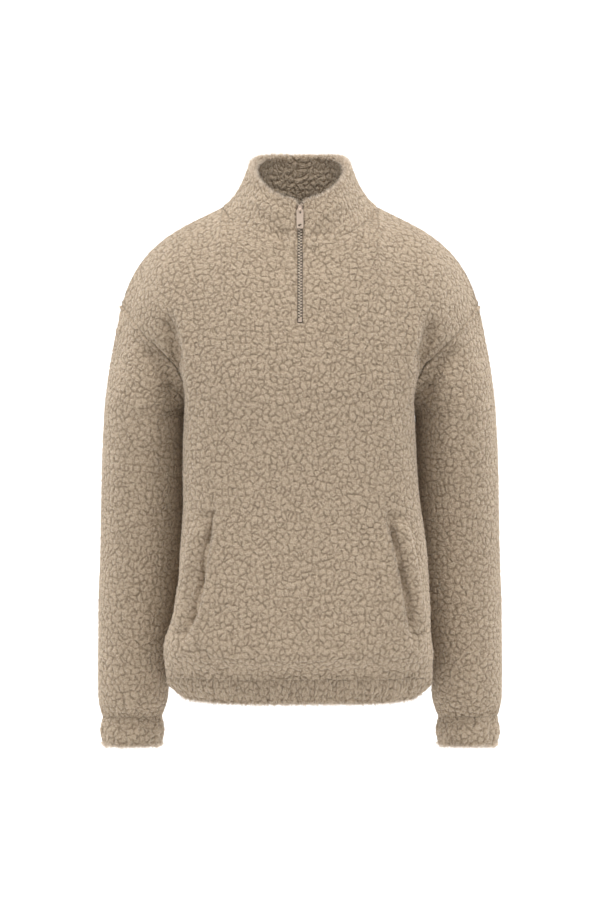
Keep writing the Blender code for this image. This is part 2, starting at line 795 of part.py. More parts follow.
def add_zip(line, neck_height, shaders, collection):
    """Tapes, chain and stops."""
    steps = (ZIP_CHAIN_TOP, ZIP_POST_BOTTOM, *(neck_height + step for step in NECK_TAPE_STEPS))
    tape = line_between(line, ZIP_STOP_BOTTOM, ZIP_TOP, steps)
    heights = tape[0][:, 2]
    split = np.where(heights > ZIP_CHAIN_TOP + 1e-5, TAPE_AROUND_POST, TAPE_SPLIT_HALF)
    edge = np.where(heights > neck_height, TAPE_NARROW_HALF, TAPE_WIDE_HALF)
    depths = (TAPE_TOP_DEPTH, TAPE_BOTTOM_DEPTH)
    for name, side in (("zip_tape_left", 1.0), ("zip_tape_right", -1.0)):
        add_strip(name, tape, side * split, side * edge, depths, shaders["tape"], collection)
    chain = line_between(line, ZIP_CHAIN_BOTTOM, ZIP_CHAIN_TOP)
    depths = (CHAIN_TOP_DEPTH, CHAIN_BOTTOM_DEPTH)
    add_strip("zip_chain", chain, -CHAIN_HALF_WIDTH, CHAIN_HALF_WIDTH, depths, shaders["chain"], collection)
    stop = line_between(line, ZIP_STOP_BOTTOM, ZIP_CHAIN_BOTTOM - SEAM_GAP)
    depths = (CHAIN_TOP_DEPTH - STOP_RAISED, CHAIN_BOTTOM_DEPTH)
    half = BOTTOM_STOP_HALF
    add_strip("zip_bottom_stop", stop, -half, half, depths, shaders["metal"], collection)
    top_stop = line_between(line, *TOP_STOP)
    depths = (CHAIN_TOP_DEPTH, CHAIN_BOTTOM_DEPTH)
    for name, side in (("zip_top_stop_left", 1.0), ("zip_top_stop_right", -1.0)):
        ends = side * TAPE_AROUND_POST, side * TOP_STOP_EDGE
        add_strip(name, top_stop, *ends, depths, shaders["metal"], collection)


def hinge_frame(line):
    """Matrix of the pull tab's hinge: +X along its axis, +Y out of the zip, +Z down along the zip."""
    points, normals = line_between(line, HINGE_HEIGHT, HINGE_HEIGHT + 0.001)
    out = Vector(normals[0])
    across = Vector((1.0, 0.0, 0.0))
    down = across.cross(out)
    turn = Matrix((across, out, down)).transposed().to_4x4()
    return Matrix.Translation(Vector(points[0]) + out * HINGE_OUT) @ turn


def box(name, half_width, along, out, hinge, collection):
    """A box in the hinge's frame: along runs down the zip, and out is measured from the cloth's face."""
    bm = bmesh.new()
    bmesh.ops.create_cube(bm, size=1.0)
    middle = (0.0, (out[0] + out[1]) / 2.0 - HINGE_OUT, (along[0] + along[1]) / 2.0)
    size = (2.0 * half_width, out[1] - out[0], along[1] - along[0])
    bm.transform(hinge @ Matrix.Translation(middle) @ Matrix.Diagonal((*size, 1.0)))
    return helper_object(name, bm, collection)


def drum(name, radius, half_width, hinge, collection):
    """A cylinder on the hinge's axis."""
    bm = bmesh.new()
    bmesh.ops.create_cone(
        bm, cap_ends=True, segments=ROUND_STEPS, radius1=radius, radius2=radius, depth=2.0 * half_width
    )
    bm.transform(hinge @ Matrix.Rotation(math.radians(90.0), 4, "Y"))
    return helper_object(name, bm, collection)


def helper_object(name, bm, collection):
    """An object that only shapes another."""
    mesh = bpy.data.meshes.new(name)
    bm.to_mesh(mesh)
    bm.free()
    made = bpy.data.objects.new(name, mesh)
    made.hide_render = True
    made.display_type = "WIRE"
    collection.objects.link(made)
    return made


def combine(target, other, operation):
    """Add a Boolean modifier to the target."""
    modifier = target.modifiers.new(other.name, "BOOLEAN")
    modifier.operation = operation
    modifier.object = other


def add_slider(hinge, shader, collection, helpers):
    """The slider: two plates joined by a post, and a bail with a round eye for the pull tab."""
    eye = drum("zip_slider", BAIL_OUTER_RADIUS, BAIL_HALF_WIDTH, hinge, collection)
    eye.hide_render = False
    eye.display_type = "TEXTURED"
    eye.data.materials.append(shader)
    along = (SLIDER_TOP, SLIDER_BOTTOM)
    pieces = (
        box(
            "bail_bar",
            BAIL_HALF_WIDTH,
            (BAIL_FOOT_ALONG[0], -BAIL_INNER_RADIUS),
            BAIL_BAR_OUT,
            hinge,
            helpers,
        ),
        box(
            "bail_foot",
            BAIL_HALF_WIDTH,
            BAIL_FOOT_ALONG,
            (SLIDER_FRONT_OUT[1] - JOIN_OVERLAP, BAIL_BAR_OUT[1]),
            hinge,
            helpers,
        ),
        box("front_plate", SLIDER_HALF_WIDTH, along, SLIDER_FRONT_OUT, hinge, helpers),
        box("back_plate", SLIDER_HALF_WIDTH, along, SLIDER_BACK_OUT, hinge, helpers),
        box(
            "post",
            POST_HALF_WIDTH,
            POST_ALONG,
            (SLIDER_BACK_OUT[0] + JOIN_OVERLAP, SLIDER_FRONT_OUT[0] + JOIN_OVERLAP),
            hinge,
            helpers,
        ),
    )
    for piece in pieces:
        combine(eye, piece, "UNION")
    combine(eye, drum("eye_hole", BAIL_INNER_RADIUS, 2.0 * BAIL_HALF_WIDTH, hinge, helpers), "DIFFERENCE")
    return eye


def rounded_outline(curve, half_width, top, bottom, corner):
    """Add a closed outline with round corners to a flat curve."""
    centres = (
        (half_width - corner, top + corner, -90.0),
        (half_width - corner, bottom - corner, 0.0),
        (corner - half_width, bottom - corner, 90.0),
        (corner - half_width, top + corner, 180.0),
    )
    points = []
    for x, z, start in centres:
        for step in range(4):
            angle = math.radians(start + 30.0 * step)
            points.append((x + corner * math.cos(angle), z + corner * math.sin(angle)))
    spline = curve.splines.new("POLY")
    spline.points.add(len(points) - 1)
    for point, (x, z) in zip(spline.points, points):
        point.co = (x, z, 0.0, 1.0)
    spline.use_cyclic_u = True


def add_pull_tab(hinge, shader, collection):
    """The pull tab: a flat plate with a slot at each end, hung on the slider's eye."""
    curve = bpy.data.curves.new("pull_tab", "CURVE")
    curve.dimensions = "2D"
    curve.fill_mode = "BOTH"
    curve.extrude = TAB_THICKNESS / 2.0
    rounded_outline(curve, TAB_HALF_WIDTH, TAB_TOP, TAB_TOP + TAB_LENGTH, TAB_CORNER)
    rounded_outline(curve, TAB_SLOT_HALF, *TAB_SLOT, TAB_SLOT_CORNER)
    rounded_outline(curve, TAB_LOWER_SLOT_HALF, *TAB_LOWER_SLOT, TAB_LOWER_SLOT_CORNER)
    curve.materials.append(shader)
    tab = bpy.data.objects.new("pull_tab", curve)
    tab.matrix_world = hinge @ Matrix.Rotation(math.radians(90.0), 4, "X")
    collection.objects.link(tab)
    return tab


# Assembly


def body_grids():
    """The cloth pieces' outer grids, and which of them are rings."""
    front_half = half_panel(True)
    back_half = half_panel(False)
    front = whole_panel(front_half, True)
    back = whole_panel(back_half, False)
    sleeve = left_sleeve(front_half, back_half)
    hem_seam = np.concatenate([front[0], back[0, -2:0:-1]])
    grids = {
        "front_panel": front,
        "back_panel": back[:, ::-1],
        "sleeve_left": sleeve,
        "sleeve_right": mirrored(sleeve)[:, ::-1],
        "hem_band": band_grid(hem_seam, HEM_BAND, HEM_GATHERS),
        "cuff_left": band_grid(sleeve[-1], CUFF_BAND, CUFF_GATHERS),
        "cuff_right": band_grid(mirrored(sleeve[-1])[::-1], CUFF_BAND, CUFF_GATHERS),
        "collar": collar_grid(front_half, back_half),
    }
    rings = {name for name in grids if name.startswith(("sleeve", "cuff", "hem"))}
    return grids, rings


def outward_normals(grids, rings):
    """Normals that point out of the garment, shared along the seams."""
    normals = {}
    for name, grid in grids.items():
        normal = grid_normals(grid, name in rings)
        inside = grid.mean(axis=(0, 1))
        if name.endswith("panel"):
            inside = np.array([0.0, 0.0, inside[2]])
        towards = np.sum((grid - inside) * normal, axis=2)
        normals[name] = normal if np.sum(towards) > 0.0 else -normal
    share_seam_normals(grids, normals)
    normals["collar"][:, [0, -1], 0] = 0.0
    normals["collar"] = unit(normals["collar"])
    return normals


def thicknesses(name, rows):
    """Wall thickness of each row of a piece."""
    if name == "collar":
        share = np.array(COLLAR_ROWS)
        return (COLLAR_BASE_WALL + (COLLAR_RIM_WALL - COLLAR_BASE_WALL) * share)[:, None, None]
    if name.startswith(("cuff", "hem")):
        return np.where(np.arange(rows) == 0, WALL, BAND_WALL)[:, None, None]
    return np.full((rows, 1, 1), WALL)


def build():
    clear_scene()
    garment = bpy.data.collections.new("sherpa_pullover")
    helpers = bpy.data.collections.new("cutters")
    bpy.context.scene.collection.children.link(garment)
    bpy.context.scene.collection.children.link(helpers)
    sherpa = material("sherpa", SHERPA_COLOUR, 0.95)
    shaders = {
        "tape": material("zip_tape", TAPE_COLOUR, 0.9),
        "chain": material("zip_chain", CHAIN_COLOUR, 0.5),
        "metal": material("zip_metal", METAL_COLOUR, 0.35, 0.9),
    }
    grids, rings = body_grids()
    normals = outward_normals(grids, rings)
    made = {}
    for name, grid in grids.items():
        ring = name in rings
        outer, inner = walls_of(grid, normals[name], thicknesses(name, len(grid)), ring)
        opening = (BODY_STEPS + YOKE_STEPS, grid.shape[1] // 2 - 1) if name == "front_panel" else None
        lip = name == "collar" or name.startswith(("cuff", "hem"))
        made[name] = add_wall(name, outer, inner, sherpa, garment, ring, lip, opening)
    for name, side in (("pocket_welt_left", 1.0), ("pocket_welt_right", -1.0)):
        add_welt(name, side, made["front_panel"], sherpa, garment)
    line = zip_line(grids["front_panel"], normals["front_panel"], grids["collar"], normals["collar"])
    add_zip(line, FRONT_NECKLINE[0][2], shaders, garment)
    hinge = hinge_frame(line)
    add_slider(hinge, shaders["metal"], garment, helpers)
    add_pull_tab(hinge, shaders["metal"], garment)


build()
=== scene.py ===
"""Sherpa fleece pullover, half zip, in its worn form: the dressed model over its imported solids.

Metres, +Z up, front towards -Y, the wearer's left towards +X. The cloth pieces are shells on the
solids' own curves, drawn much finer, with the pile's clumps, the seams and the folds.
"""

import math
from collections import namedtuple

import bpy
import numpy as np
from mathutils import Matrix, Vector
from mathutils.bvhtree import BVHTree


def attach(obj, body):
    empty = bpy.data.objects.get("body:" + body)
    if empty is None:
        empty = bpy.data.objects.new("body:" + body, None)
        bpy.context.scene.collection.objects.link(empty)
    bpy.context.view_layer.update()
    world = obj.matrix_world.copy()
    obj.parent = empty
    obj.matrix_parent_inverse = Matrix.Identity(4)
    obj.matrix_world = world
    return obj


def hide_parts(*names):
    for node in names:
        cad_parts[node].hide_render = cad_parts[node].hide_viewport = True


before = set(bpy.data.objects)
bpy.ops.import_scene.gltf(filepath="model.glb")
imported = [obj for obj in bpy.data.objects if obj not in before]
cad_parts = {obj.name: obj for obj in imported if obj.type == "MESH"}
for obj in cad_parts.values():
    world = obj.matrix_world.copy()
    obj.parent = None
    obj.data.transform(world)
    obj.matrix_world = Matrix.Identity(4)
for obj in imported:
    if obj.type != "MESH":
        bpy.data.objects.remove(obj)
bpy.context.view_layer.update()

# Thickness of the cloth, and the zip's opening
WALL = 0.005
BAND_WALL = 0.009
COLLAR_BASE_WALL, COLLAR_RIM_WALL = 0.007, 0.011
ZIP_OPENING_HALF = 0.0035
ZIP_OPENING_BOTTOM = -0.1745

# Rows and columns of the grids
NECK_STEPS, SHOULDER_STEPS = 5, 8
HEM_ROW_EASE = 1.25
NECK_SHARE = 0.38
SLIT_CELLS = 4
CAP_ROWS, SLEEVE_ROWS = 56, 196
SLEEVE_ROW_EASE = 1.35
COLLAR_COLUMNS, COLLAR_ROWS = 120, 36
HEM_ROWS, CUFF_ROWS, BAND_INNER_ROWS = 14, 19, 7
BAND_SPLIT = 2
LIP_ROWS = 8
INNER_STRIDE = 4
Steps = namedtuple("Steps", "across body yoke")
FRONT_STEPS, BACK_STEPS = Steps(8, 184, 52), Steps(6, 156, 40)

# Level sections of the body, from the armpit down to the hem seam: the height, the front's centre y,
# its fold's x and y at its widest place, the side seam's x and y, the back's fold and its centre y
BODY = (
    (-0.272, -0.1360, 0.1600, -0.062, 0.1500, 0.012, 0.1560, 0.074, 0.1180),
    (-0.333, -0.1345, 0.1625, -0.064, 0.1520, 0.013, 0.1570, 0.072, 0.1150),
    (-0.417, -0.1340, 0.1660, -0.066, 0.1545, 0.015, 0.1590, 0.070, 0.1075),
    (-0.517, -0.1370, 0.1750, -0.066, 0.1600, 0.018, 0.1640, 0.066, 0.1030),
    (-0.581, -0.1390, 0.1820, -0.062, 0.1670, 0.018, 0.1700, 0.064, 0.1060),
    (-0.627, -0.1385, 0.1880, -0.056, 0.1740, 0.016, 0.1780, 0.062, 0.1130),
    (-0.662, -0.1290, 0.1850, -0.046, 0.1790, 0.014, 0.1790, 0.058, 0.1090),
)
FOLD_FULLNESS = 0.62
PRESS_FULLNESS = 0.45

# Level sections of the left sleeve, from below the armhole to the cuff seam: the height, the inner
# and the outer x, the centre's y and half the depth
SLEEVE = (
    (-0.300, 0.1620, 0.2750, 0.015, 0.0660),
    (-0.351, 0.1620, 0.2777, 0.018, 0.0640),
    (-0.419, 0.1635, 0.2796, 0.022, 0.0610),
    (-0.496, 0.1660, 0.2813, 0.027, 0.0590),
    (-0.560, 0.1715, 0.2838, 0.030, 0.0580),
    (-0.618, 0.1800, 0.2845, 0.033, 0.0560),
    (-0.670, 0.1855, 0.2848, 0.035, 0.0530),
    (-0.700, 0.1875, 0.2840, 0.036, 0.0490),
    (-0.7215, 0.1950, 0.2790, 0.037, 0.0400),
)
SLEEVE_HEAD_FLARE = 0.22

# Seam lines of the left half. Armholes pass through their points; the rest are Bezier controls
NECK_POINT = (0.108, 0.004, -0.006)
SLEEVE_HEAD = (0.250, 0.002, -0.1442)
SHOULDER_SEAM = (NECK_POINT, (0.165, 0.004, -0.036), (0.227, 0.003, -0.054), SLEEVE_HEAD)
ARMPIT = (0.150, 0.012, -0.272)

# What differs between the panels: the zip's half width, the curves, the directions in which the
# panel reaches its top edge at the centre line, the neck point and on the shoulder, a soft trough
# in the yoke, and the row and the span of rows about which the armhole seam's ridge starts.
Panel = namedtuple(
    "Panel",
    "steps start fullness neckline armhole rise shoulder_length ease_passes trough ridge_row ridge_rows",
)
Trough = namedtuple("Trough", "across across_reach up up_reach depth")
FRONT = Panel(
    FRONT_STEPS, ZIP_OPENING_HALF, 0.68,
    ((0.0, -0.0925, -0.076), (0.045, -0.0925, -0.060), (0.093, -0.070, -0.045), NECK_POINT),
    (
        ARMPIT, (0.161, -0.035, -0.2546), (0.178, -0.055, -0.2325), (0.200, -0.058, -0.2080),
        (0.221, -0.045, -0.1830), SLEEVE_HEAD,
    ),
    ((0.0, 0.42, 0.90), (-0.12, 0.90, 0.42), (0.0, 1.0, 0.0)), 0.86, 3,
    Trough(0.86, 0.14, 0.22, 0.34, 0.0050), 156, 40,
)
BACK = Panel(
    BACK_STEPS, 0.0, 0.60,
    ((0.0, 0.066, 0.004), (0.050, 0.066, 0.004), (0.101, 0.045, 0.008), NECK_POINT),
    (
        ARMPIT, (0.160, 0.045, -0.2560), (0.180, 0.063, -0.2350), (0.202, 0.065, -0.2100),
        (0.222, 0.050, -0.1850), SLEEVE_HEAD,
    ),
    ((0.0, -0.45, 0.90), (-0.12, -0.90, 0.42), (0.0, -1.0, 0.0)), 1.1, 10,
    Trough(0.84, 0.16, 0.25, 0.36, -0.0035), 184, 52,
)
RISE_LENGTH = 0.8
RISE_BLEND_STEPS = 5
EASE_FADE = 0.30
ARMHOLE_REACH = 0.5

# Collar: the rim is an ellipse that rises towards the back
RIM_HALF_WIDTH = 0.0725
RIM_CENTRE_Y = -0.007
RIM_HALF_DEPTH = 0.069
RIM_FRONT_HEIGHT = -0.0075
RIM_RISE = 0.037
RIM_SIDE_LIFT = 0.017
RIM_BACK_SQUARENESS = 0.75
Lean = namedtuple("Lean", "front side back")
COLLAR_BASE_LEAN = Lean(13.0, 56.0, 10.0)
COLLAR_RIM_LEAN = Lean(13.0, 20.0, 8.0)

# Folded bands: (how far each row lies below the seam, how far it puffs out), and their gathers
HEM_BAND = ((0.0, 0.0), (0.005, -0.0003), (0.013, -0.0015), (0.021, -0.0038), (0.0300, -0.0080))
CUFF_BAND = ((0.0, 0.0), (0.006, 0.0020), (0.015, 0.0030), (0.027, 0.0028), (0.0390, -0.0004))
GATHER_FADE = 0.008
Gathers = namedtuple("Gathers", "count second_count depth")
HEM_GATHERS, CUFF_GATHERS = Gathers(87, 61, 0.0019), Gathers(15, 9, 0.0008)
FIRST_RIPPLE = 0.6
BAND_EASE = 0.019

# Left pocket welt, a slanted strip: the height, and the x of its sewn edge and of its open edge
WELT = (
    (-0.4430, 0.1200, 0.1450), (-0.4750, 0.1285, 0.1535), (-0.5060, 0.1350, 0.1600),
    (-0.5400, 0.1436, 0.1660), (-0.5670, 0.1490, 0.1700), (-0.5950, 0.1565, 0.1715),
)

# Seams and free edges
SEAM_ROUNDING = 0.0009
NECK_SEAM_ROUNDING = 0.0007
HEM_SEAM_ROUNDING = 0.0005
SLIT_ROUNDING = 0.0032
END_ROUNDING = 0.0048
RIDGE_RISE = 0.0011
RIDGE_PLACE = 0.0036
RIDGE_WIDTH = 0.0017
UNDERARM_SHARE = 0.16
SHARP_ANGLE = 55.0


# Curves


def unit(vectors):
    """The vectors at length 1."""
    vectors = np.asarray(vectors, float)
    return vectors / np.linalg.norm(vectors, axis=-1, keepdims=True)


def smoothstep(value):
    """A smooth rise from 0 at 0 to 1 at 1."""
    value = np.clip(value, 0.0, 1.0)
    return value * value * (3.0 - 2.0 * value)


def bezier(controls):
    """Points along a cubic Bezier curve."""
    first, second, third, last = (np.asarray(point, float) for point in controls)
    share = np.linspace(0.0, 1.0, 400)[:, None]
    rest = 1.0 - share
    middle = 3.0 * rest**2 * share * second
    return rest**3 * first + middle + 3.0 * rest * share**2 * third + share**3 * last


def hermite(start, end, start_pull, end_pull, share):
    """Points between two ends, with a tangent at each."""
    square, cube = share**2, share**3
    return (
        (2 * cube - 3 * square + 1) * start
        + (cube - 2 * square + share) * start_pull
        + (3 * square - 2 * cube) * end
        + (cube - square) * end_pull
    )


def smooth_values(knots, values, wanted):
    """A smooth curve through a table's values, whose knots rise, at the wanted places."""
    knots, values = np.asarray(knots, float), np.asarray(values, float)
    slopes = np.gradient(values, knots, axis=0)
    wanted = np.atleast_1d(wanted)
    left = np.clip(np.searchsorted(knots, wanted, side="right") - 1, 0, len(knots) - 2)
    width = knots[left + 1] - knots[left]
    share = (wanted - knots[left]) / width
    if values.ndim > 1:
        width, share = width[:, None], share[:, None]
    return hermite(values[left], values[left + 1], slopes[left] * width, slopes[left + 1] * width, share)


def table_at(rows, height):
    """What a table gives at any height, without the height."""
    rising = np.array(sorted(rows))
    return smooth_values(rising[:, 0], rising[:, 1:], height)[0]


def lengths_along(points):
    """Each point's distance from the first, along the curve."""
    return np.concatenate([[0.0], np.cumsum(np.linalg.norm(np.diff(points, axis=0), axis=1))])


def resample(points, shares):
    """The points at shares of the curve's length."""
    lengths = lengths_along(points)
    wanted = np.asarray(shares) * lengths[-1]
    return np.stack([np.interp(wanted, lengths, points[:, axis]) for axis in range(3)], axis=1)


def curve_through(points, shares):
    """A smooth curve through the points, read at shares of its length."""
    knots = lengths_along(np.asarray(points, float))
    return resample(smooth_values(knots, points, np.linspace(0.0, knots[-1], 600)), shares)


def mirrored(points):
    """The same points on the right side."""
    return points * np.array([-1.0, 1.0, 1.0])


# Body panels


def from_opening(panel, curve, end, count):
    """Shares of a curve's length, from the panel's zip or centre line to the given share."""
    return np.linspace(panel.start / lengths_along(curve)[-1], end, count)


def panel_row(panel, height, across):
    """The columns' points on half of one level section."""
    *ahead, side_x, side_y, back_x, back_fold_y, back_y = table_at(BODY, height)
    y, x, fold_y = ahead if panel is FRONT else (back_y, back_x, back_fold_y)
    press = (side_y - fold_y) * PRESS_FULLNESS
    plan = [
        (0.0, y), (x * panel.fullness, y), (x, fold_y + (y - fold_y) * FOLD_FULLNESS), (x, fold_y),
        (x, fold_y + press), (side_x, side_y - press), (side_x, side_y),
    ]
    plan = [(*place, height) for place in plan]
    curve = np.concatenate([bezier(plan[:4]), bezier(plan[3:])[1:]])
    neck = from_opening(panel, curve, NECK_SHARE, NECK_STEPS * across + 1)
    shoulder = np.linspace(NECK_SHARE, 1.0, SHOULDER_STEPS * across + 1)
    points = resample(curve, np.concatenate([neck, shoulder[1:]]))
    points[0, 0] = panel.start
    return points


def neckline(panel, count):
    """Points on half the neckline, from the centre out."""
    curve = bezier(panel.neckline)
    points = resample(curve, from_opening(panel, curve, 1.0, count))
    points[0, 0] = panel.start
    return points


def evened(depths, shares, passes):
    """Yoke rows' depths with their steps evened out, less so towards the yoke's bottom and top."""
    even = depths.copy()
    for _ in range(passes):
        even[:, 1:-1] = (even[:, :-2] + 2.0 * even[:, 1:-1] + even[:, 2:]) / 4.0
    strength = smoothstep(shares / EASE_FADE) * smoothstep((1.0 - shares) / EASE_FADE)
    return depths + (even - depths) * strength[:, None]


def yoke_patch(panel, shares, across):
    """The panel between the armpit's level and its top edge, at shares of the way up."""
    level = BODY[0][0]
    base = panel_row(panel, level, across)
    shoulder = resample(bezier(SHOULDER_SEAM), np.linspace(0.0, 1.0, SHOULDER_STEPS * across + 1))
    top = np.concatenate([neckline(panel, NECK_STEPS * across + 1), shoulder[1:]])
    places = np.arange(len(base)) / across
    reach = np.linalg.norm(top - base, axis=1)[:, None]
    start_pull = unit(base - panel_row(panel, level - 0.01, across)) * reach
    on_neck = smoothstep(places / NECK_STEPS)[:, None]
    on_shoulder = smoothstep((places - NECK_STEPS) / RISE_BLEND_STEPS)[:, None]
    centre_way, neck_way, shoulder_way = np.array(panel.rise)
    way = centre_way + (neck_way - centre_way) * on_neck
    length = RISE_LENGTH + (panel.shoulder_length - RISE_LENGTH) * on_neck
    end_pull = unit(way + (shoulder_way - way) * on_shoulder) * reach * length
    rows = hermite(base, top, start_pull, end_pull, shares[:, None, None])
    out = np.linspace(0.0, 1.0, len(base))
    blend = smoothstep((out - ARMHOLE_REACH) / (1.0 - ARMHOLE_REACH))
    armhole = curve_through(panel.armhole, shares)
    rows = rows + blend[:, None] * (armhole[:, None] - rows[:, -1:])
    rows[..., 1] = evened(rows[..., 1], shares, panel.ease_passes * across**2)
    trough = panel.trough
    dip = smoothstep(1.0 - np.abs(out - trough.across) / trough.across_reach)
    up = smoothstep(1.0 - np.abs(shares - trough.up) / trough.up_reach)
    rows[..., 1] += trough.depth * dip * up[:, None]
    return rows


def half_panel(panel):
    """Grid of a panel's left half: rows from the hem seam up, columns from the centre out."""
    across, body, yoke = panel.steps
    shares = np.linspace(0.0, 1.0, body + 1) ** HEM_ROW_EASE
    heights = BODY[-1][0] + (BODY[0][0] - BODY[-1][0]) * shares
    # a row of each panel lies at the share of the yoke where the zip's lower end is
    shares = np.linspace(0.0, 1.0, 800)
    opening = float(np.interp(ZIP_OPENING_BOTTOM, yoke_patch(FRONT, shares, 1)[:, 0, 2], shares))
    parts = [np.linspace(*ends, yoke + 1)[1:] for ends in ((0.0, opening), (opening, 1.0))]
    shares = np.concatenate(parts)
    rows = np.array([panel_row(panel, height, across) for height in heights])
    return np.concatenate([rows, yoke_patch(panel, shares, across)])


def whole_front(half):
    """Both halves of the front from right to left, and the cells between them below the zip."""
    right = mirrored(half)[:, ::-1]
    steps = np.linspace(0.0, 1.0, SLIT_CELLS + 1)[1:-1, None]
    return np.concatenate([right, right[:, -1:] + (half[:, :1] - right[:, -1:]) * steps, half], axis=1)


def whole_back(half):
    """Both halves of the back, left to right."""
    return np.concatenate([mirrored(half)[:, ::-1], half[:, 1:]], axis=1)[:, ::-1]


# Sleeves


def sleeve_ring(height, angles):
    """The sleeve's points at one level."""
    inner, outer, centre_y, half_depth = table_at(SLEEVE, height)
    x = (inner + outer) / 2.0 + (outer - inner) / 2.0 * np.cos(angles)
    return np.stack([x, centre_y + half_depth * np.sin(angles), np.full(len(angles), height)], axis=1)


def left_sleeve(front_half, back_half):
    """Grid of the left sleeve: rows from the armhole down, columns round it from the armpit."""
    front_edge = front_half[FRONT_STEPS.body :, -1]
    back_edge = back_half[BACK_STEPS.body :, -1][::-1]
    armhole = np.concatenate([front_edge, back_edge[1:-1]])
    front = lengths_along(front_edge)
    back = lengths_along(np.concatenate([armhole[len(front_edge) - 1 :], armhole[:1]]))
    angles = math.pi + math.pi * np.concatenate([front / front[-1], 1.0 + back[1:-1] / back[-1]])
    level, end = SLEEVE[0][0], SLEEVE[-1][0]
    ring = sleeve_ring(level, angles)
    reach = np.linalg.norm(ring - armhole, axis=1)[:, None]
    outward = np.maximum(np.cos(angles), 0.0)[:, None] * np.array([SLEEVE_HEAD_FLARE, 0.0, 0.0])
    start_pull = unit(np.array([0.0, 0.0, -1.0]) + outward) * reach
    end_pull = unit(sleeve_ring(level - 0.01, angles) - ring) * reach
    steps = np.linspace(0.0, 1.0, CAP_ROWS + 1)
    cap = [hermite(armhole, ring, start_pull, end_pull, share) for share in steps]
    above_cuff = (level - end) * np.linspace(1.0, 0.0, SLEEVE_ROWS + 1)[1:] ** SLEEVE_ROW_EASE
    return np.array(cap + [sleeve_ring(end + above, angles) for above in above_cuff])


# Bands and collar


def split_ring(ring, parts):
    """A closed ring with each step split into equal parts."""
    after = np.roll(ring, -1, axis=0)
    steps = [ring + (after - ring) * part / parts for part in range(parts)]
    return np.stack(steps, axis=1).reshape(-1, 3)


def band_grid(seam, rows, row_count, gathers):
    """Grid of a folded band's outer face, from its seam down, round a closed seam."""
    around = np.roll(seam, -3, axis=0) - np.roll(seam, 3, axis=0)
    outward = unit(np.stack([around[:, 1], -around[:, 0], np.zeros(len(seam))], axis=1))
    if np.sum(outward * (seam - seam.mean(axis=0))) < 0.0:
        outward = -outward
    turn = np.linspace(0.0, 2.0 * math.pi, len(seam), endpoint=False)
    ripple = FIRST_RIPPLE * np.sin(gathers.count * turn)
    ripple += (1.0 - FIRST_RIPPLE) * np.sin(gathers.second_count * turn)
    drops = np.linspace(0.0, rows[-1][0], row_count + 1)
    grid = []
    for drop, puff in zip(drops, smooth_values(*zip(*rows), drops)):
        puff = puff * smoothstep(drop / BAND_EASE) + gathers.depth * ripple * smoothstep(drop / GATHER_FADE)
        grid.append(seam + outward * puff[:, None] - np.array([0.0, 0.0, drop]))
    return np.array(grid)


def collar_column(base, angle):
    """One column of the collar's left outer face, from the neckline to the rim."""
    sine, cosine = math.sin(angle), math.cos(angle)
    squareness = 1.0 if cosine > 0.0 else RIM_BACK_SQUARENESS
    height = RIM_FRONT_HEIGHT + RIM_RISE * (1.0 - cosine) + RIM_SIDE_LIFT * sine**2
    rim = np.array([RIM_HALF_WIDTH * abs(sine) ** squareness, RIM_CENTRE_Y - RIM_HALF_DEPTH * cosine, height])
    rim[0] = max(rim[0], min(base[0], ZIP_OPENING_HALF))
    inward, up = np.array([-sine, cosine, 0.0]), np.array([0.0, 0.0, 1.0])
    pulls = []
    for lean in (COLLAR_BASE_LEAN, COLLAR_RIM_LEAN):
        ahead = lean.front if cosine > 0.0 else lean.back
        slope = math.radians(ahead + (lean.side - ahead) * sine**2)
        pulls.append((inward * math.sin(slope) + up * math.cos(slope)) * np.linalg.norm(rim - base))
    return [hermite(base, rim, *pulls, share) for share in np.linspace(0.0, 1.0, COLLAR_ROWS + 1)]


def collar_grid():
    """Grid of the collar's outer face: rows from neckline to rim, columns from the zip's right round."""
    half = COLLAR_COLUMNS // 2
    left = np.concatenate([neckline(FRONT, half + 1), neckline(BACK, half + 1)[-2::-1]])
    angles = np.linspace(0.0, math.pi, len(left))
    columns = np.array([collar_column(point, angle) for point, angle in zip(left, angles)])
    return np.swapaxes(np.concatenate([mirrored(columns), columns[-2::-1]]), 0, 1)


# Shells


def steps_along(grid, axis, closed):
    """A grid's steps along an axis, which may be closed into a ring."""
    if closed:
        return np.roll(grid, -1, axis=axis) - np.roll(grid, 1, axis=axis)
    return np.gradient(grid, axis=axis)


def grid_normals(grid, ring, inside, profile=False):
    """Unit normals of a grid that point away from its inside. A profile's rows are closed too."""
    normal = unit(np.cross(steps_along(grid, 1, ring), steps_along(grid, 0, profile)))
    return normal if np.sum((grid - inside) * normal) > 0.0 else -normal


def edge_distances(grid, ring):
    """How far each point lies from the grid's edges, along the cloth. A ring has no start or end."""
    found = {}
    for axis, (first, last) in enumerate((("bottom", "top"), ("start", "end"))[: 1 if ring else 2]):
        steps = np.linalg.norm(np.diff(grid, axis=axis), axis=2)
        along = np.insert(np.cumsum(steps, axis=axis), 0, 0.0, axis=axis)
        found |= {first: along, last: along.take([-1], axis) - along}
    return found


def rounding(distance, radius):
    """How far the outer face has curled down at a distance from its edge."""
    near = 1.0 - np.clip(distance / radius, 0.0, 1.0)
    return radius * (1.0 - np.sqrt(1.0 - near**2))


def cell_sides(cells, ring):
    """For each side of the cells, which cells have no neighbour there."""
    padded = np.pad(cells, 1)
    if ring:
        padded[:, 0], padded[:, -1] = padded[:, -2], padded[:, 1]
    around = (padded[:-2, 1:-1], padded[1:-1, 2:], padded[2:, 1:-1], padded[1:-1, :-2])
    return [cells & ~side for side in around]


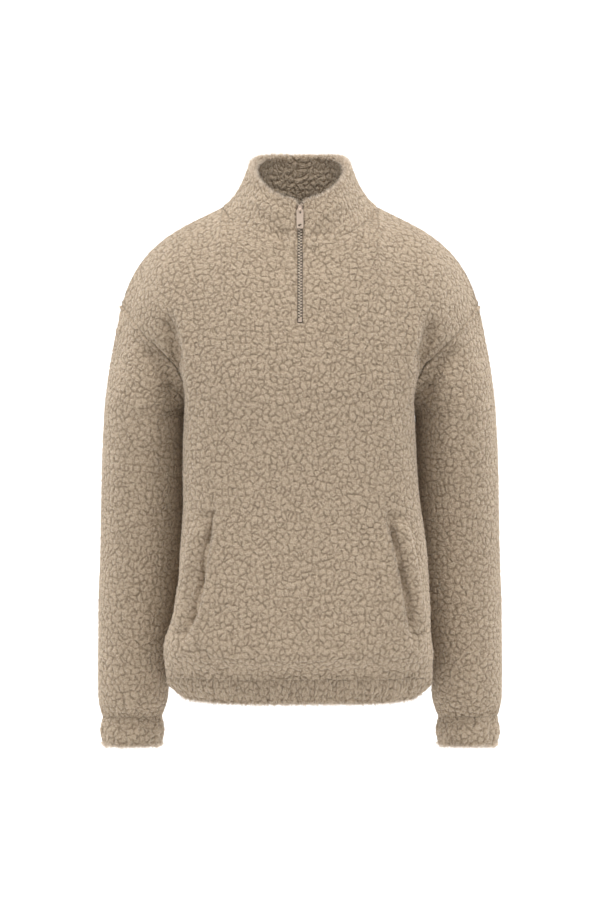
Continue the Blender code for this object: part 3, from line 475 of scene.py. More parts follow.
def shell_faces(shape, cells, ring):
    """Faces of a closed shell: fine outside, coarse inside, and a strip round every edge."""
    columns = shape[1]
    count = shape[0] * columns
    row, column = np.nonzero(cells)
    here, beside = row * columns + column, row * columns + (column + 1) % columns
    corners = np.stack([here, beside, beside + columns, here + columns], axis=1)
    faces = corners.tolist()
    for side, open_cells in enumerate(cell_sides(cells, ring)):
        edge = corners[open_cells[row, column]]
        first, second = edge[:, side], edge[:, (side + 1) % 4]
        faces += np.stack([second, first, first + count, second + count], axis=1).tolist()
    stride = INNER_STRIDE
    coarse = cells[::stride, ::stride]
    coarse_sides = cell_sides(coarse, ring)
    for row, column in zip(*np.nonzero(coarse)):
        top, left = row * stride, column * stride
        walk = (
            [(top, left + step) for step in range(stride)],
            [(top + step, left + stride) for step in range(stride)],
            [(top + stride, left + stride - step) for step in range(stride)],
            [(top + stride - step, left) for step in range(stride)],
        )
        face = []
        for side, points in enumerate(walk):
            kept = points if coarse_sides[side][row, column] else points[:1]
            face += [count + r * columns + c % columns for r, c in kept]
        faces.append(face[::-1])
    return faces


def set_vectors(mesh, key, values):
    """Store a vector at each of a mesh's points."""
    attribute = mesh.attributes.new(key, "FLOAT_VECTOR", "POINT")
    attribute.data.foreach_set("vector", np.ascontiguousarray(values, np.float32).ravel())


def linked(name, data):
    """A new object in the scene."""
    made = bpy.data.objects.new(name, data)
    bpy.context.scene.collection.objects.link(made)
    return made


def signed_volume(points, faces):
    """Six times the volume inside faces that all turn the same way, negative where they face in."""
    total = 0.0
    sizes = {}
    for face in faces:
        sizes.setdefault(len(face), []).append(face)
    for size, group in sizes.items():
        corners = points[np.array(group)]
        for step in range(1, size - 1):
            total += np.sum(corners[:, 0] * np.cross(corners[:, step], corners[:, step + 1]))
    return total


def new_mesh(name, points, faces, **vectors):
    """A smooth mesh object facing out, without unused points, with what the pile's relief needs."""
    points = np.asarray(points, float)
    used = np.zeros(len(points), bool)
    for face in faces:
        used[face] = True
    fresh = np.cumsum(used) - 1
    faces = [fresh[face].tolist() for face in faces]
    if signed_volume(points[used], faces) < 0.0:
        faces = [face[::-1] for face in faces]
    mesh = bpy.data.meshes.new(name)
    mesh.from_pydata(points[used].tolist(), [], faces)
    for key, values in vectors.items():
        set_vectors(mesh, key, values[used])
    mesh.shade_smooth()
    mesh.set_sharp_from_angle(angle=math.radians(SHARP_ANGLE))
    return linked(name, mesh)


def indices(rows, columns):
    """The points' numbers in a grid."""
    return np.arange(rows * columns).reshape(rows, columns)


def quads(here, below, ring):
    """Faces between rows of points' numbers and the rows below them."""
    after, corner = np.roll(here, -1, axis=1), np.roll(below, -1, axis=1)
    corners = np.stack([here, after, corner, below], axis=2)
    return corners[:, : None if ring else -1].reshape(-1, 4)


def tube_faces(rows, columns, ring):
    """Faces of a closed profile swept round: rows go round the profile, columns along the piece."""
    grid = indices(rows, columns)
    faces = quads(grid, np.roll(grid, -1, axis=0), ring).tolist()
    return faces if ring else faces + [grid[::-1, 0].tolist(), grid[:, -1].tolist()]


def lip_rows(outer, inner):
    """Rows of a half round edge from the last outer row to the last inner row."""
    across, middle = (outer[-1] - inner[-1]) / 2.0, (outer[-1] + inner[-1]) / 2.0
    along = unit(outer[-1] - outer[-2])
    along = unit(along - np.sum(along * unit(across), axis=1)[:, None] * unit(across))
    radius = np.linalg.norm(across, axis=1)[:, None]
    turns = [math.pi * step / LIP_ROWS for step in range(1, LIP_ROWS)]
    return np.array([middle + across * math.cos(turn) + along * radius * math.sin(turn) for turn in turns])


# Pile: clumps of curly fibre with thin creases between them

CLUMP_SIZE = 0.0084
CLUMP_RELIEF = 0.0018
CLUMP_MEAN = 0.77
CREASE_WIDTH = 0.27
BEND, BEND_SCALE = 0.0055, 85.0
DEPTH_SCALE = 130.0
LUMPS, LUMP_SCALE = 1.65, 310.0
FUZZ, FUZZ_SCALE = 1.6, 460.0
BUMP_HEIGHT, BUMP_FUZZ = 0.0013, 1.4


def fill(tree, made, inputs):
    """Link outputs into a node's inputs, or set the inputs to numbers."""
    for key, source in inputs.items():
        if isinstance(source, bpy.types.NodeSocket):
            tree.links.new(source, made.inputs[key])
        else:
            made.inputs[key].default_value = source
    return made


def node(tree, kind, inputs, **settings):
    """A new node with some of its properties and inputs set."""
    made = tree.nodes.new(kind)
    for key, value in settings.items():
        setattr(made, key, value)
    return fill(tree, made, inputs)


def maths(tree, operation, first, second=0.0):
    """The result of a Math node."""
    return node(tree, "ShaderNodeMath", {0: first, 1: second}, operation=operation).outputs[0]


def vector_maths(tree, operation, first, second):
    """The result of a Vector Math node."""
    inputs = {0: first, 3 if operation == "SCALE" else 1: second}
    made = node(tree, "ShaderNodeVectorMath", inputs, operation=operation)
    return made.outputs["Value" if operation == "LENGTH" else "Vector"]


def ranged(tree, value, low, high, to_low=0.0, to_high=1.0, shape="SMOOTHSTEP"):
    """A value mapped from one range to another."""
    inputs = dict(enumerate((value, low, high, to_low, to_high)))
    return node(tree, "ShaderNodeMapRange", inputs, interpolation_type=shape).outputs[0]


def noise(tree, place, scale, detail=2.0, output="Fac"):
    """A Noise texture's output."""
    inputs = {"Vector": place, "Scale": scale, "Detail": detail}
    return node(tree, "ShaderNodeTexNoise", inputs).outputs[output]


def centred(tree, value, size):
    """A noise value's distance from its middle, at a new size."""
    return maths(tree, "MULTIPLY", maths(tree, "SUBTRACT", value, 0.5), size)


def creases(tree, place, size, width):
    """0 in the creases between clumps of one size, and 1 on the clumps."""
    inputs = {"Vector": place, "Scale": 1.0 / size}
    cells = node(tree, "ShaderNodeTexVoronoi", inputs, feature="DISTANCE_TO_EDGE", voronoi_dimensions="2D")
    distance = cells.outputs["Distance"]
    edge = maths(tree, "POWER", ranged(tree, distance, 0.0, width, shape="LINEAR"), 0.66)
    dome = maths(tree, "MULTIPLY", ranged(tree, distance, 0.0, 0.5), 0.16)
    return maths(tree, "ADD", maths(tree, "MULTIPLY", edge, 0.84), dome)


def pile_height(tree, place):
    """The pile's height from 0 in the deepest creases to about 1."""
    bent = vector_maths(tree, "SUBTRACT", noise(tree, place, BEND_SCALE, 2.5, "Color"), (0.5, 0.5, 0.5))
    place = vector_maths(tree, "ADD", place, vector_maths(tree, "SCALE", bent, BEND))
    clumps = creases(tree, place, CLUMP_SIZE, CREASE_WIDTH)
    depth = ranged(tree, noise(tree, place, DEPTH_SCALE, 1.0), 0.34, 0.62, 0.38, 0.94)
    carved = maths(tree, "MULTIPLY", maths(tree, "SUBTRACT", clumps, 1.0), depth)
    lumps = centred(tree, noise(tree, place, LUMP_SCALE, 3.0), LUMPS)
    return maths(tree, "ADD", maths(tree, "ADD", carved, 1.0), lumps)


def relief_group():
    """Geometry nodes that move each point along its lift by the pile's height."""
    tree = bpy.data.node_groups.new("pile_relief", "GeometryNodeTree")
    for way in ("INPUT", "OUTPUT"):
        tree.interface.new_socket("Geometry", in_out=way, socket_type="NodeSocketGeometry")
    start = node(tree, "NodeGroupInput", {})
    kind = "GeometryNodeInputNamedAttribute"
    lift, cloth = (
        node(tree, kind, {"Name": key}, data_type="FLOAT_VECTOR").outputs["Attribute"]
        for key in ("lift", "cloth")
    )
    height = maths(tree, "SUBTRACT", pile_height(tree, cloth), CLUMP_MEAN)
    inputs = {"Geometry": start.outputs[0], "Offset": vector_maths(tree, "SCALE", lift, height)}
    move = node(tree, "GeometryNodeSetPosition", inputs)
    node(tree, "NodeGroupOutput", {0: move.outputs["Geometry"]})
    return tree


def raise_pile(made, group):
    """Move a piece's points by the pile's relief, for good."""
    made.modifiers.new("pile", "NODES").node_group = group
    graph = bpy.context.evaluated_depsgraph_get()
    raised = made.evaluated_get(graph)
    mesh = bpy.data.meshes.new_from_object(raised, preserve_all_data_layers=True, depsgraph=graph)
    made.modifiers.clear()
    old = made.data
    made.data = mesh
    mesh.name = old.name
    bpy.data.meshes.remove(old)


# Materials

# The pile's colours in its creases, between and on its clumps: darker in the creases as painted shade.
SHERPA_CREASE_SHADE = (0.286, 0.219, 0.151)
SHERPA_MID = (0.414, 0.325, 0.234)
SHERPA_HIGH = (0.530, 0.424, 0.314)
# The loose fibres' lightest colour, far lighter than the pile: a painted highlight.
FIBRE_HIGHLIGHT = (0.880, 0.805, 0.710)


def new_material(name, roughness, metallic=0.0):
    """A material, its tree and its shader."""
    made = bpy.data.materials.new(name)
    made.use_nodes = True
    tree = made.node_tree
    inputs = {"Roughness": roughness, "Metallic": metallic}
    return made, tree, fill(tree, tree.nodes["Principled BSDF"], inputs)


def object_place(tree):
    """Each point's place on its object."""
    return node(tree, "ShaderNodeTexCoord", {}).outputs["Object"]


def colour_ramp(tree, value, *stops):
    """A colour ramp's colour. Stops are (place, colour)."""
    made = node(tree, "ShaderNodeValToRGB", {"Fac": value})
    ramp = made.color_ramp
    while len(ramp.elements) < len(stops):
        ramp.elements.new(0.5)
    for element, (place, colour) in zip(ramp.elements, stops):
        element.position = place
        element.color = (*colour, 1.0)
    return made.outputs["Color"]


def mixed(tree, share, first, second):
    """Two colours mixed."""
    return node(tree, "ShaderNodeMix", {0: share, 6: first, 7: second}, data_type="RGBA").outputs[2]


def bumped(tree, shader, height, distance):
    """Give a shader a bumped normal."""
    bump = node(tree, "ShaderNodeBump", {"Distance": distance, "Strength": 1.0, "Height": height})
    fill(tree, shader, {"Normal": bump.outputs["Normal"]})


def sherpa_material(name, fibre=False):
    """Curly pile: clumps with painted shade in their creases, mottled colour and a soft sheen."""
    made, tree, shader = new_material(name, 0.95)
    place = node(tree, "ShaderNodeAttribute", {}, attribute_name="cloth").outputs["Vector"]
    height = pile_height(tree, place)
    fuzz = noise(tree, place, FUZZ_SCALE, 4.0)
    # The colour darkens from the clumps down into the creases: painted shade in the creases.
    stops = ((0.1, SHERPA_CREASE_SHADE), (0.65, SHERPA_MID), (1.0, SHERPA_HIGH))
    if fibre:
        # The loose fibres run from the clumps' colour up to a much lighter one: a painted highlight.
        stops = ((0.1, SHERPA_HIGH), (1.0, FIBRE_HIGHLIGHT))
    colour = colour_ramp(tree, maths(tree, "ADD", height, centred(tree, fuzz, FUZZ)), *stops)
    fill(tree, shader, {
        "Base Color": colour, "Specular IOR Level": 0.15,
        "Sheen Weight": 0.35, "Sheen Roughness": 0.45, "Sheen Tint": (1.0, 0.94, 0.86, 1.0),
    })
    if fibre:
        let_through = node(tree, "ShaderNodeBsdfTranslucent", {"Color": colour})
        inputs = {0: 0.5, 1: shader.outputs["BSDF"], 2: let_through.outputs["BSDF"]}
        both = node(tree, "ShaderNodeMixShader", inputs)
        fill(tree, tree.nodes["Material Output"], {"Surface": both.outputs["Shader"]})
    else:
        rough = maths(tree, "ADD", height, maths(tree, "MULTIPLY", fuzz, BUMP_FUZZ))
        bumped(tree, shader, rough, BUMP_HEIGHT)
    return made


# Folds, in tenths of a millimetre: how far each rises or sinks, its half width, and then the x and
# z of the points of its line in the front view

FOLDS = (
    # the chest's folds beside the arms, and the troughs outside them
    (48, 105, -1680, -1500, -1610, -1890, -1555, -2210, -1530, -2620, -1560, -3200),
    (-115, 105, -1850, -1580, -1790, -1850, -1715, -2160, -1650, -2450),
    (46, 110, 1670, -1520, 1605, -1890, 1550, -2210, 1525, -2620, 1560, -3150),
    (-110, 108, 1840, -1600, 1780, -1880, 1705, -2180, 1645, -2460),
    # the troughs under the armhole seams, and folds down the sleeves from them
    (-120, 130, -2200, -1960, -2050, -2140, -1900, -2360, -1760, -2580, -1680, -2850),
    (-114, 130, 2200, -1960, 2050, -2150, 1895, -2360, 1755, -2590, 1680, -2850),
    (26, 120, -2280, -2620, -2090, -3050, -1960, -3520),
    (24, 125, 2300, -2700, 2110, -3100, 1980, -3620),
    # above the hem band
    (22, 95, -1300, -6290, -500, -6330, 500, -6310, 1200, -6350),
    (-22, 60, -1500, -6120, -1100, -6400, -980, -6620),
    (-20, 65, 1280, -6040, 1040, -6360, 920, -6620),
    # beside the zip, under the chin
    (-42, 150, -200, -620, -300, -840, -280, -1160),
    (-40, 150, 200, -620, 300, -850, 280, -1140),
    # the pockets' seams, and the puffed cloth beside them
    (-118, 46, -1190, -4220, -1320, -4780, -1415, -5200, -1495, -5600, -1625, -6120),
    (-120, 46, 1190, -4220, 1320, -4780, 1415, -5200, 1495, -5600, 1625, -6120),
    (-36, 48, -1430, -4320, -1350, -4370, -1250, -4360, -1180, -4280),
    (-32, 48, 1430, -4340, 1345, -4390, 1250, -4370, 1185, -4290),
    (-40, 50, -1790, -5840, -1720, -5940, -1640, -5970, -1560, -5920),
    (-38, 50, 1780, -5850, 1715, -5950, 1640, -5980, 1560, -5940),
    (34, 60, -1100, -4480, -1195, -4840, -1285, -5220, -1370, -5600, -1460, -5980),
    (36, 60, 1100, -4480, 1195, -4840, 1285, -5220, 1370, -5600, 1460, -5980),
)
BACK_FOLDS = (
    # the folds beside the arms and the troughs outside them
    (40, 115, -1690, -1520, -1620, -1900, -1560, -2240, -1540, -2680, -1570, -3300),
    (42, 110, 1680, -1500, 1615, -1880, 1555, -2200, 1535, -2620, 1565, -3180),
    (-92, 112, -1850, -1600, -1790, -1880, -1710, -2200, -1650, -2480),
    (-98, 108, 1845, -1580, 1785, -1850, 1705, -2160, 1645, -2440),
    (-100, 130, -2210, -1970, -2050, -2170, -1890, -2400, -1750, -2640),
    (-104, 128, 2205, -1950, 2045, -2140, 1890, -2370, 1755, -2620),
    # the elbows
    (-48, 105, -2700, -3920, -2400, -4180, -2060, -4240),
    (26, 110, -2720, -4250, -2450, -4460, -2120, -4500),
    (-34, 95, -2640, -4700, -2380, -4820, -2080, -4780),
    (-44, 110, 2690, -3980, 2390, -4280, 2070, -4360),
    (24, 105, 2710, -4360, 2440, -4580, 2110, -4620),
    (-30, 90, 2560, -4920, 2330, -5000, 2100, -4940),
    # across the shoulders, the small of the back, and above the hem band
    (-26, 120, -1150, -1180, -420, -1360, 400, -1320, 1120, -1210),
    (-36, 165, -660, -2900, -540, -3900, -620, -5050),
    (-32, 175, 700, -3100, 560, -4200, 650, -5300),
    (26, 100, -1300, -6260, -500, -6330, 500, -6290, 1250, -6350),
    (-26, 65, -1080, -5880, -860, -6240, -790, -6560),
    (-24, 70, 1240, -5940, 1010, -6280, 900, -6580),
)
COLLAR_FOLDS = (
    # from the zip's top, round the neckline, and at the sides
    (36, 88, -230, -250, -330, -220, -480, -140, -680, 20),
    (34, 90, 230, -250, 330, -220, 480, -150, 680, 20),
    (-60, 125, -160, -400, -290, -520, -480, -560, -640, -500),
    (-58, 130, 160, -400, 300, -530, 480, -560, 640, -500),
    (-18, 50, -920, -200, -760, -400, -550, -580),
    (18, 48, -980, -360, -820, -520, -640, -680),
    (-18, 50, 940, -260, 780, -440, 580, -620),
    (15, 46, 980, -420, 840, -560, 660, -700),
)
FOLD_FADE = 0.25
FOLD_END_SHARE = 0.12


def line_distance(across, up, line):
    """Distance of points from a line of (x, z) points, and how far along it the nearest place is."""
    spans = np.linalg.norm(np.diff(line, axis=0), axis=1)
    starts = np.concatenate([[0.0], np.cumsum(spans)])
    best = np.full(across.shape, np.inf)
    along = np.zeros(across.shape)
    for index, span in enumerate(spans):
        x, z = line[index]
        way = (line[index + 1] - line[index]) / span
        ahead = np.clip((across - x) * way[0] + (up - z) * way[1], 0.0, span)
        gap = np.hypot(across - x - way[0] * ahead, up - z - way[1] * ahead)
        nearer = gap < best
        best = np.where(nearer, gap, best)
        along = np.where(nearer, (starts[index] + ahead) / starts[-1], along)
    return best, along


def folded(folds, points):
    """How far the folds lift each point."""
    total = np.zeros(points.shape[:-1])
    for fold in folds:
        rise, width, *line = (number / 10000.0 for number in fold)
        gap, along = line_distance(points[..., 0], points[..., 2], np.reshape(line, (-1, 2)))
        fade = smoothstep(along / FOLD_FADE) * smoothstep((1.0 - along) / FOLD_FADE)
        total += rise * np.exp(-((gap / width) ** 2)) * (FOLD_END_SHARE + (1.0 - FOLD_END_SHARE) * fade)
    return total


def with_folds(folds, grid, ring, inside, ahead=-1.0):
    """The grid with its folds, on the faces that look forward, or back where ahead is 1."""
    normal = grid_normals(grid, ring, inside)
    facing = smoothstep((normal[..., 1] * ahead - 0.12) / 0.45)
    return grid + normal * (folded(folds, grid) * facing)[..., None]


Sewing = namedtuple("Sewing", "edge depth width")
HEM_SEWING, CUFF_SEWING = Sewing("bottom", 0.0095, 0.0240), Sewing("top", 0.0022, 0.0080)
TROUGH_SHIFT = 0.12
GATHER_REACH, GATHER_START = 0.026, 0.004
GATHER_RISE = 0.0011
GATHER_WAVES = ((61.0, 0.55, 0.4), (83.0, 0.45, 1.9))


def drawn_in(grid, ring, inside, sewing):
    """The grid with a soft trough along the edge where a band is sewn on, and small gathers beside it."""
    normal = grid_normals(grid, ring, inside)
    distance = edge_distances(grid, ring)[sewing.edge]
    share = np.linspace(0.0, 1.0, grid.shape[1])
    uneven = 1.0 - 0.22 * np.sin(2.0 * math.pi * (1.5 * share + 0.2)) ** 2
    facing = smoothstep((np.abs(normal[..., 1]) - 0.25) / 0.6)
    trough = np.exp(-(((distance - TROUGH_SHIFT * sewing.width) / sewing.width) ** 2))
    move = -sewing.depth * uneven * (0.12 + 0.88 * facing) * trough
    ripple = np.zeros(grid.shape[1])
    for count, size, start in GATHER_WAVES:
        waves = count * (1.0 + 0.06 * np.sin(2.0 * math.pi * 2.0 * share))
        ripple += size * np.sin(2.0 * math.pi * waves * share + start)
    fade = smoothstep(1.0 - distance / GATHER_REACH) * smoothstep(distance / GATHER_START)
    return grid + normal * (move + GATHER_RISE * ripple * fade)[..., None]


# How far the front's sides are pulled in, by height
RIGHT_PULLS = (
    (-0.66, 0.0), (-0.61, 0.0), (-0.592, 0.0032), (-0.565, 0.0082), (-0.535, 0.0100), (-0.49, 0.0070),
    (-0.427, 0.0060), (-0.38, 0.0030), (-0.33, 0.0018), (-0.28, 0.0020), (-0.25, 0.0),
)
LEFT_PULLS = (
    (-0.66, 0.0010), (-0.642, 0.0035), (-0.609, 0.0055), (-0.592, 0.0040), (-0.565, 0.0008),
    (-0.53, -0.0010), (-0.49, -0.0026), (-0.45, -0.0012), (-0.41, 0.0018), (-0.36, 0.0032),
    (-0.28, 0.0036), (-0.25, 0.0),
)
PULL_EDGE = 0.045


def pulled_in(grid):
    """The front panel with its sides drawn in above the hem, each side in its own way."""
    distances = edge_distances(grid, False)
    for pulls, sign, edge in ((RIGHT_PULLS, -1.0, "start"), (LEFT_PULLS, 1.0, "end")):
        pull = np.interp(grid[..., 2], *np.array(pulls).T)
        near = smoothstep((sign * grid[..., 0] - 0.095) / 0.065)
        free = smoothstep(distances[edge] / PULL_EDGE)
        grid = grid - np.array([sign, 0.0, 0.0]) * (pull * near * free)[..., None]
    return grid


HEM_TUCK = 0.0100
HEM_CORNER_LIFT, HEM_CORNER_REACH = 0.0110, 0.011
HEM_SAG = 0.0012


def tucked(band):
    """The hem band with its lower edge tucked in and lifted at both sides."""
    share = np.linspace(0.0, 1.0, len(band))[:, None]
    seam = band[0]
    x, y = seam[:, 0], (seam[:, 1] - seam[:, 1].mean()) * 2.2
    outward = unit(np.stack([x, y, np.zeros(len(seam))], axis=1))
    sides = smoothstep((np.abs(outward[:, 0]) - 0.25) / 0.6)
    corner = np.exp((np.abs(x) - np.abs(x).max()) / HEM_CORNER_REACH)
    moved = band - outward[None] * (HEM_TUCK * share**2 * sides)[..., None]
    moved[..., 2] += HEM_CORNER_LIFT * share**1.5 * corner - HEM_SAG * share * (1.0 - corner)
    return moved


SEATED_ROWS, SEWN_ROWS = 12, 18
COLLAR_CORNER_REACH, COLLAR_CORNER_DROP = 0.0085, 0.0042


def moved_edge(grid, edge, rows):
    """The grid with its first row on a new edge, and the rows after it moved less and less."""
    share = 1.0 - smoothstep(np.arange(len(grid)) / rows)
    return grid + (edge - grid[0]) * share[:, None, None]


def seated(collar, plain, neck_before, neck_after):
    """The collar on the folded neckline. plain is its first row before any fold."""
    move = neck_after - neck_before
    order = np.argsort(neck_before[:, 0])
    found = [np.interp(plain[:, 0], neck_before[order, 0], move[order, axis]) for axis in range(3)]
    on_front = smoothstep((0.004 - plain[:, 1]) / 0.004)
    return moved_edge(collar, plain + np.stack(found, axis=1) * on_front[:, None], SEATED_ROWS)


def cornered(collar):
    """The collar with its two upper front corners rounded off."""
    reach = COLLAR_CORNER_REACH
    from_end = np.minimum(np.abs(collar[..., 0]) - ZIP_OPENING_HALF, reach) / reach
    ahead = collar[-1:, :, 1] < RIM_CENTRE_Y
    drop = COLLAR_CORNER_DROP * (1.0 - np.clip(from_end, 0.0, 1.0)) ** 2 * ahead
    lowered = np.array(collar)
    lowered[..., 2] -= drop * smoothstep(np.linspace(-0.6, 1.0, len(collar)))[:, None]
    return lowered


# Cloth pieces

LAYOUT_STRIDE = 6


def kept_steps(count):
    """Every few of a number of steps, with the first and the last."""
    return np.unique(np.append(np.arange(0, count, LAYOUT_STRIDE), count - 1))


def refined(values, knots, count, axis):
    """Values at a few knots along an axis, read at every step between them."""
    steps = np.arange(count)
    high = np.clip(np.searchsorted(knots, steps), 1, len(knots) - 1)
    low = high - 1
    share = (steps - knots[low]) / (knots[high] - knots[low])
    share = share.reshape([count if side == axis else 1 for side in range(3)])
    return np.take(values, low, axis) * (1.0 - share) + np.take(values, high, axis) * share


def laid_flat(points, faces):
    """The points' places when a few faces are laid flat with as little stretch as possible."""
    mesh = bpy.data.meshes.new("layout")
    mesh.from_pydata(points.tolist(), [], faces.tolist())
    thing = linked("layout", mesh)
    mesh.uv_layers.new(name="flat")
    bpy.context.view_layer.objects.active = thing
    thing.select_set(True)
    bpy.ops.object.mode_set(mode="EDIT")
    bpy.ops.mesh.select_all(action="SELECT")
    bpy.ops.uv.unwrap(method="MINIMUM_STRETCH", margin=0.0)
    bpy.ops.object.mode_set(mode="OBJECT")
    flat = np.zeros((len(points), 2))
    places = np.empty(len(mesh.loops) * 2, np.float32)
    mesh.uv_layers[0].data.foreach_get("uv", places)
    flat[faces.ravel()] = places.reshape(-1, 2)
    bpy.data.objects.remove(thing)
    bpy.data.meshes.remove(mesh)
    return flat


def cell_steps(grid):
    """Each cell's steps to the next column and to the next row."""
    return np.diff(grid, axis=1)[:-1], np.diff(grid, axis=0)[:, :-1]


def cloth_places(grid, ring, stretch, offset):
    """Each point's place on the flat cloth, at its real size, the rows across and the columns up."""
    whole = np.concatenate([grid, grid[:, :1]], axis=1) if ring else grid
    row_knots, column_knots = kept_steps(whole.shape[0]), kept_steps(whole.shape[1])
    coarse = whole[np.ix_(row_knots, column_knots)]
    rows, columns = coarse.shape[:2]
    index = indices(rows, columns)
    flat = laid_flat(coarse.reshape(-1, 3), quads(index[:-1], index[1:], False)).reshape(rows, columns, 2)
    real = np.linalg.norm(np.cross(*cell_steps(coarse)), axis=2).sum()
    ahead, up = cell_steps(flat)
    drawn = np.abs(ahead[..., 0] * up[..., 1] - ahead[..., 1] * up[..., 0]).sum()
    flat = flat * math.sqrt(real / drawn)
    rise = unit(np.diff(flat, axis=0).sum(axis=(0, 1)))
    flat = np.stack([flat @ np.array([rise[1], -rise[0]]), flat @ rise], axis=2)
    flat = refined(refined(flat, row_knots, whole.shape[0], 0), column_knots, whole.shape[1], 1)
    flat = flat[:, : grid.shape[1]]
    x, y = flat[..., 0] * stretch[0] + offset, flat[..., 1] * stretch[1]
    return np.stack([x, y, np.full(grid.shape[:2], offset)], axis=2)


def two_faced(name, outer, inner, lift, places, cells, ring, inner_shift=0.0):
    """A closed shell from two grids, with the pile's relief on its outer face alone."""
    points, lift = (
        np.concatenate([first.reshape(-1, 3), second.reshape(-1, 3)])
        for first, second in ((outer, inner), (lift, np.zeros(outer.shape)))
    )
    places = places.reshape(-1, 3)
    cloth = np.concatenate([places, places + inner_shift])
    return new_mesh(name, points, shell_faces(outer.shape[:2], cells, ring), lift=lift, cloth=cloth)


INNER_SHIFT = 0.37


def add_panel(name, grid, inside, rounded, stretch, offset, armhole, slit=None, ring=False):
    """A body panel or sleeve as a shell. rounded gives each edge's curl, armhole its seam's distances."""
    normal = grid_normals(grid, ring, inside)
    distances = edge_distances(grid, ring)
    curl = np.zeros(grid.shape[:2])
    for edge, radius in rounded.items():
        curl = np.maximum(curl, rounding(distances[edge], radius))
    beside, underarm = armhole(grid, distances)
    curl *= 1.0 - 0.9 * underarm
    ridge = RIDGE_RISE * np.exp(-(((beside - RIDGE_PLACE) / RIDGE_WIDTH) ** 2)) * (1.0 - underarm)
    curl -= ridge * (1.0 + 2.4 * normal[..., 0] ** 2)
    cells = np.ones((grid.shape[0] - 1, grid.shape[1] - (not ring)), bool)
    if slit:
        row, first, end = slit
        cells[row:, first:end] = False
        beside = np.maximum(np.abs(grid[..., 0]) - ZIP_OPENING_HALF, 0.0)
        below = np.maximum(grid[row, first, 2] - grid[..., 2], 0.0)
        curl = np.maximum(curl, rounding(np.hypot(beside, below), SLIT_ROUNDING))
    amount = np.full(grid.shape[:2], CLUMP_RELIEF) * (1.0 - 0.6 * np.clip(curl / SEAM_ROUNDING, 0.0, 1.0))
    outer, inner, lift = grid - normal * curl[..., None], grid - normal * WALL, normal * amount[..., None]
    places = cloth_places(grid, ring, stretch, offset)
    return two_faced(name, outer, inner, lift, places, cells, ring, INNER_SHIFT)


def band_places(profile, stretch, offset):
    """Each point's place on a band laid flat: even steps along it, and real steps over its fold."""
    pitch = np.linalg.norm(np.diff(profile, axis=1), axis=2).mean()
    steps = np.linalg.norm(np.diff(profile, axis=0), axis=2).mean(axis=1)
    places = np.empty(profile.shape)
    places[..., 0] = np.arange(profile.shape[1]) * pitch * stretch[0] + offset
    places[..., 1] = np.concatenate([[0.0], np.cumsum(steps)])[:, None] * stretch[1]
    places[..., 2] = offset
    return places


def add_band(
    name, outer, stretch, offset,
    thickness=None, inner_rows=BAND_INNER_ROWS, ring=True, curl_top=HEM_SEAM_ROUNDING,
):
    """A folded band or collar: one closed profile, so the pile goes over its fold."""
    if thickness is None:
        thickness = WALL + (BAND_WALL - WALL) * smoothstep(np.linspace(0.0, 1.0, len(outer)) * 4.0)
    normal = grid_normals(outer, ring, outer.mean(axis=1, keepdims=True))
    inner = outer - normal * thickness[:, None, None]
    distances = edge_distances(outer, ring)
    seam = rounding(distances["bottom"], curl_top)[..., None]
    outer = outer - normal * seam
    inner = inner + normal * seam * 0.4
    if not ring:
        near = np.minimum(distances["start"], distances["end"])[..., None]
        middle = (outer + inner) / 2.0
        share = np.sqrt(np.clip(1.0 - np.clip(1.0 - near / END_ROUNDING, 0.0, 1.0) ** 2, 0.03, 1.0))
        outer, inner = middle + (outer - middle) * share, middle + (inner - middle) * share
    chosen = np.unique(np.round(np.linspace(0, len(inner) - 1, inner_rows + 1)).astype(int))
    profile = np.concatenate([outer, lip_rows(outer, inner), inner[chosen][::-1]])
    amount = np.full(profile.shape[:2], CLUMP_RELIEF)
    amount[0] *= 0.5
    amount[-1] *= 0.2
    if not ring:
        ends = np.minimum(np.arange(profile.shape[1]), np.arange(profile.shape[1])[::-1])
        amount *= smoothstep(ends / 5.0) * 0.75 + 0.25
    cloth = band_places(profile, stretch, offset).reshape(-1, 3)
    normal = grid_normals(profile, ring, profile.mean(axis=0, keepdims=True), True)
    lift = (normal * amount[..., None]).reshape(-1, 3)
    faces = tube_faces(*profile.shape[:2], ring)
    return new_mesh(name, profile.reshape(-1, 3), faces, lift=lift, cloth=cloth)


# Zip: places on the outer face of the cloth beside it, as y and z with the normal's y and z

ZIP_LINE = (
    (-0.12919, -0.19411, -0.9841, 0.1777),
    (-0.12524, -0.17450, -0.9759, 0.2184),
    (-0.11980, -0.15215, -0.9666, 0.2563),
    (-0.11362, -0.13066, -0.9554, 0.2954),
    (-0.10688, -0.11038, -0.9423, 0.3347),
    (-0.09977, -0.09165, -0.9266, 0.3761),
    (-0.09245, -0.07483, -0.9489, 0.3156),
    (-0.09023, -0.06539, -0.9722, 0.2344),
    (-0.08726, -0.05327, -0.9706, 0.2406),
    (-0.08389, -0.03982, -0.9702, 0.2424),
    (-0.08020, -0.02502, -0.9715, 0.2371),
    (-0.07600, -0.00750, -0.9725, 0.2330),
)
CHAIN_BOTTOM, CHAIN_TOP = -0.1668, -0.0165
TOOTH_PITCH = 0.0020
TOOTH_DEPTH = 0.0024
TOOTH_HALF = (0.0015, 0.0010, 0.00098)
TOOTH_OFFSET = 0.00135
TOOTH_SLANT = 16.0
TOOTH_ROUND, TOOTH_RINGS = 10, 5


def zip_frame(height):
    """A matrix at a height on the zip: +X across it, +Y out of it, and +Z down along it."""
    table = np.array(ZIP_LINE)
    y, z, out_y, out_z = (np.interp(height, table[:, 1], table[:, column]) for column in range(4))
    out = Vector((0.0, out_y, out_z)).normalized()
    across = Vector((1.0, 0.0, 0.0))
    turn = Matrix((across, out, across.cross(out))).transposed().to_4x4()
    return Matrix.Translation((0.0, y, z)) @ turn


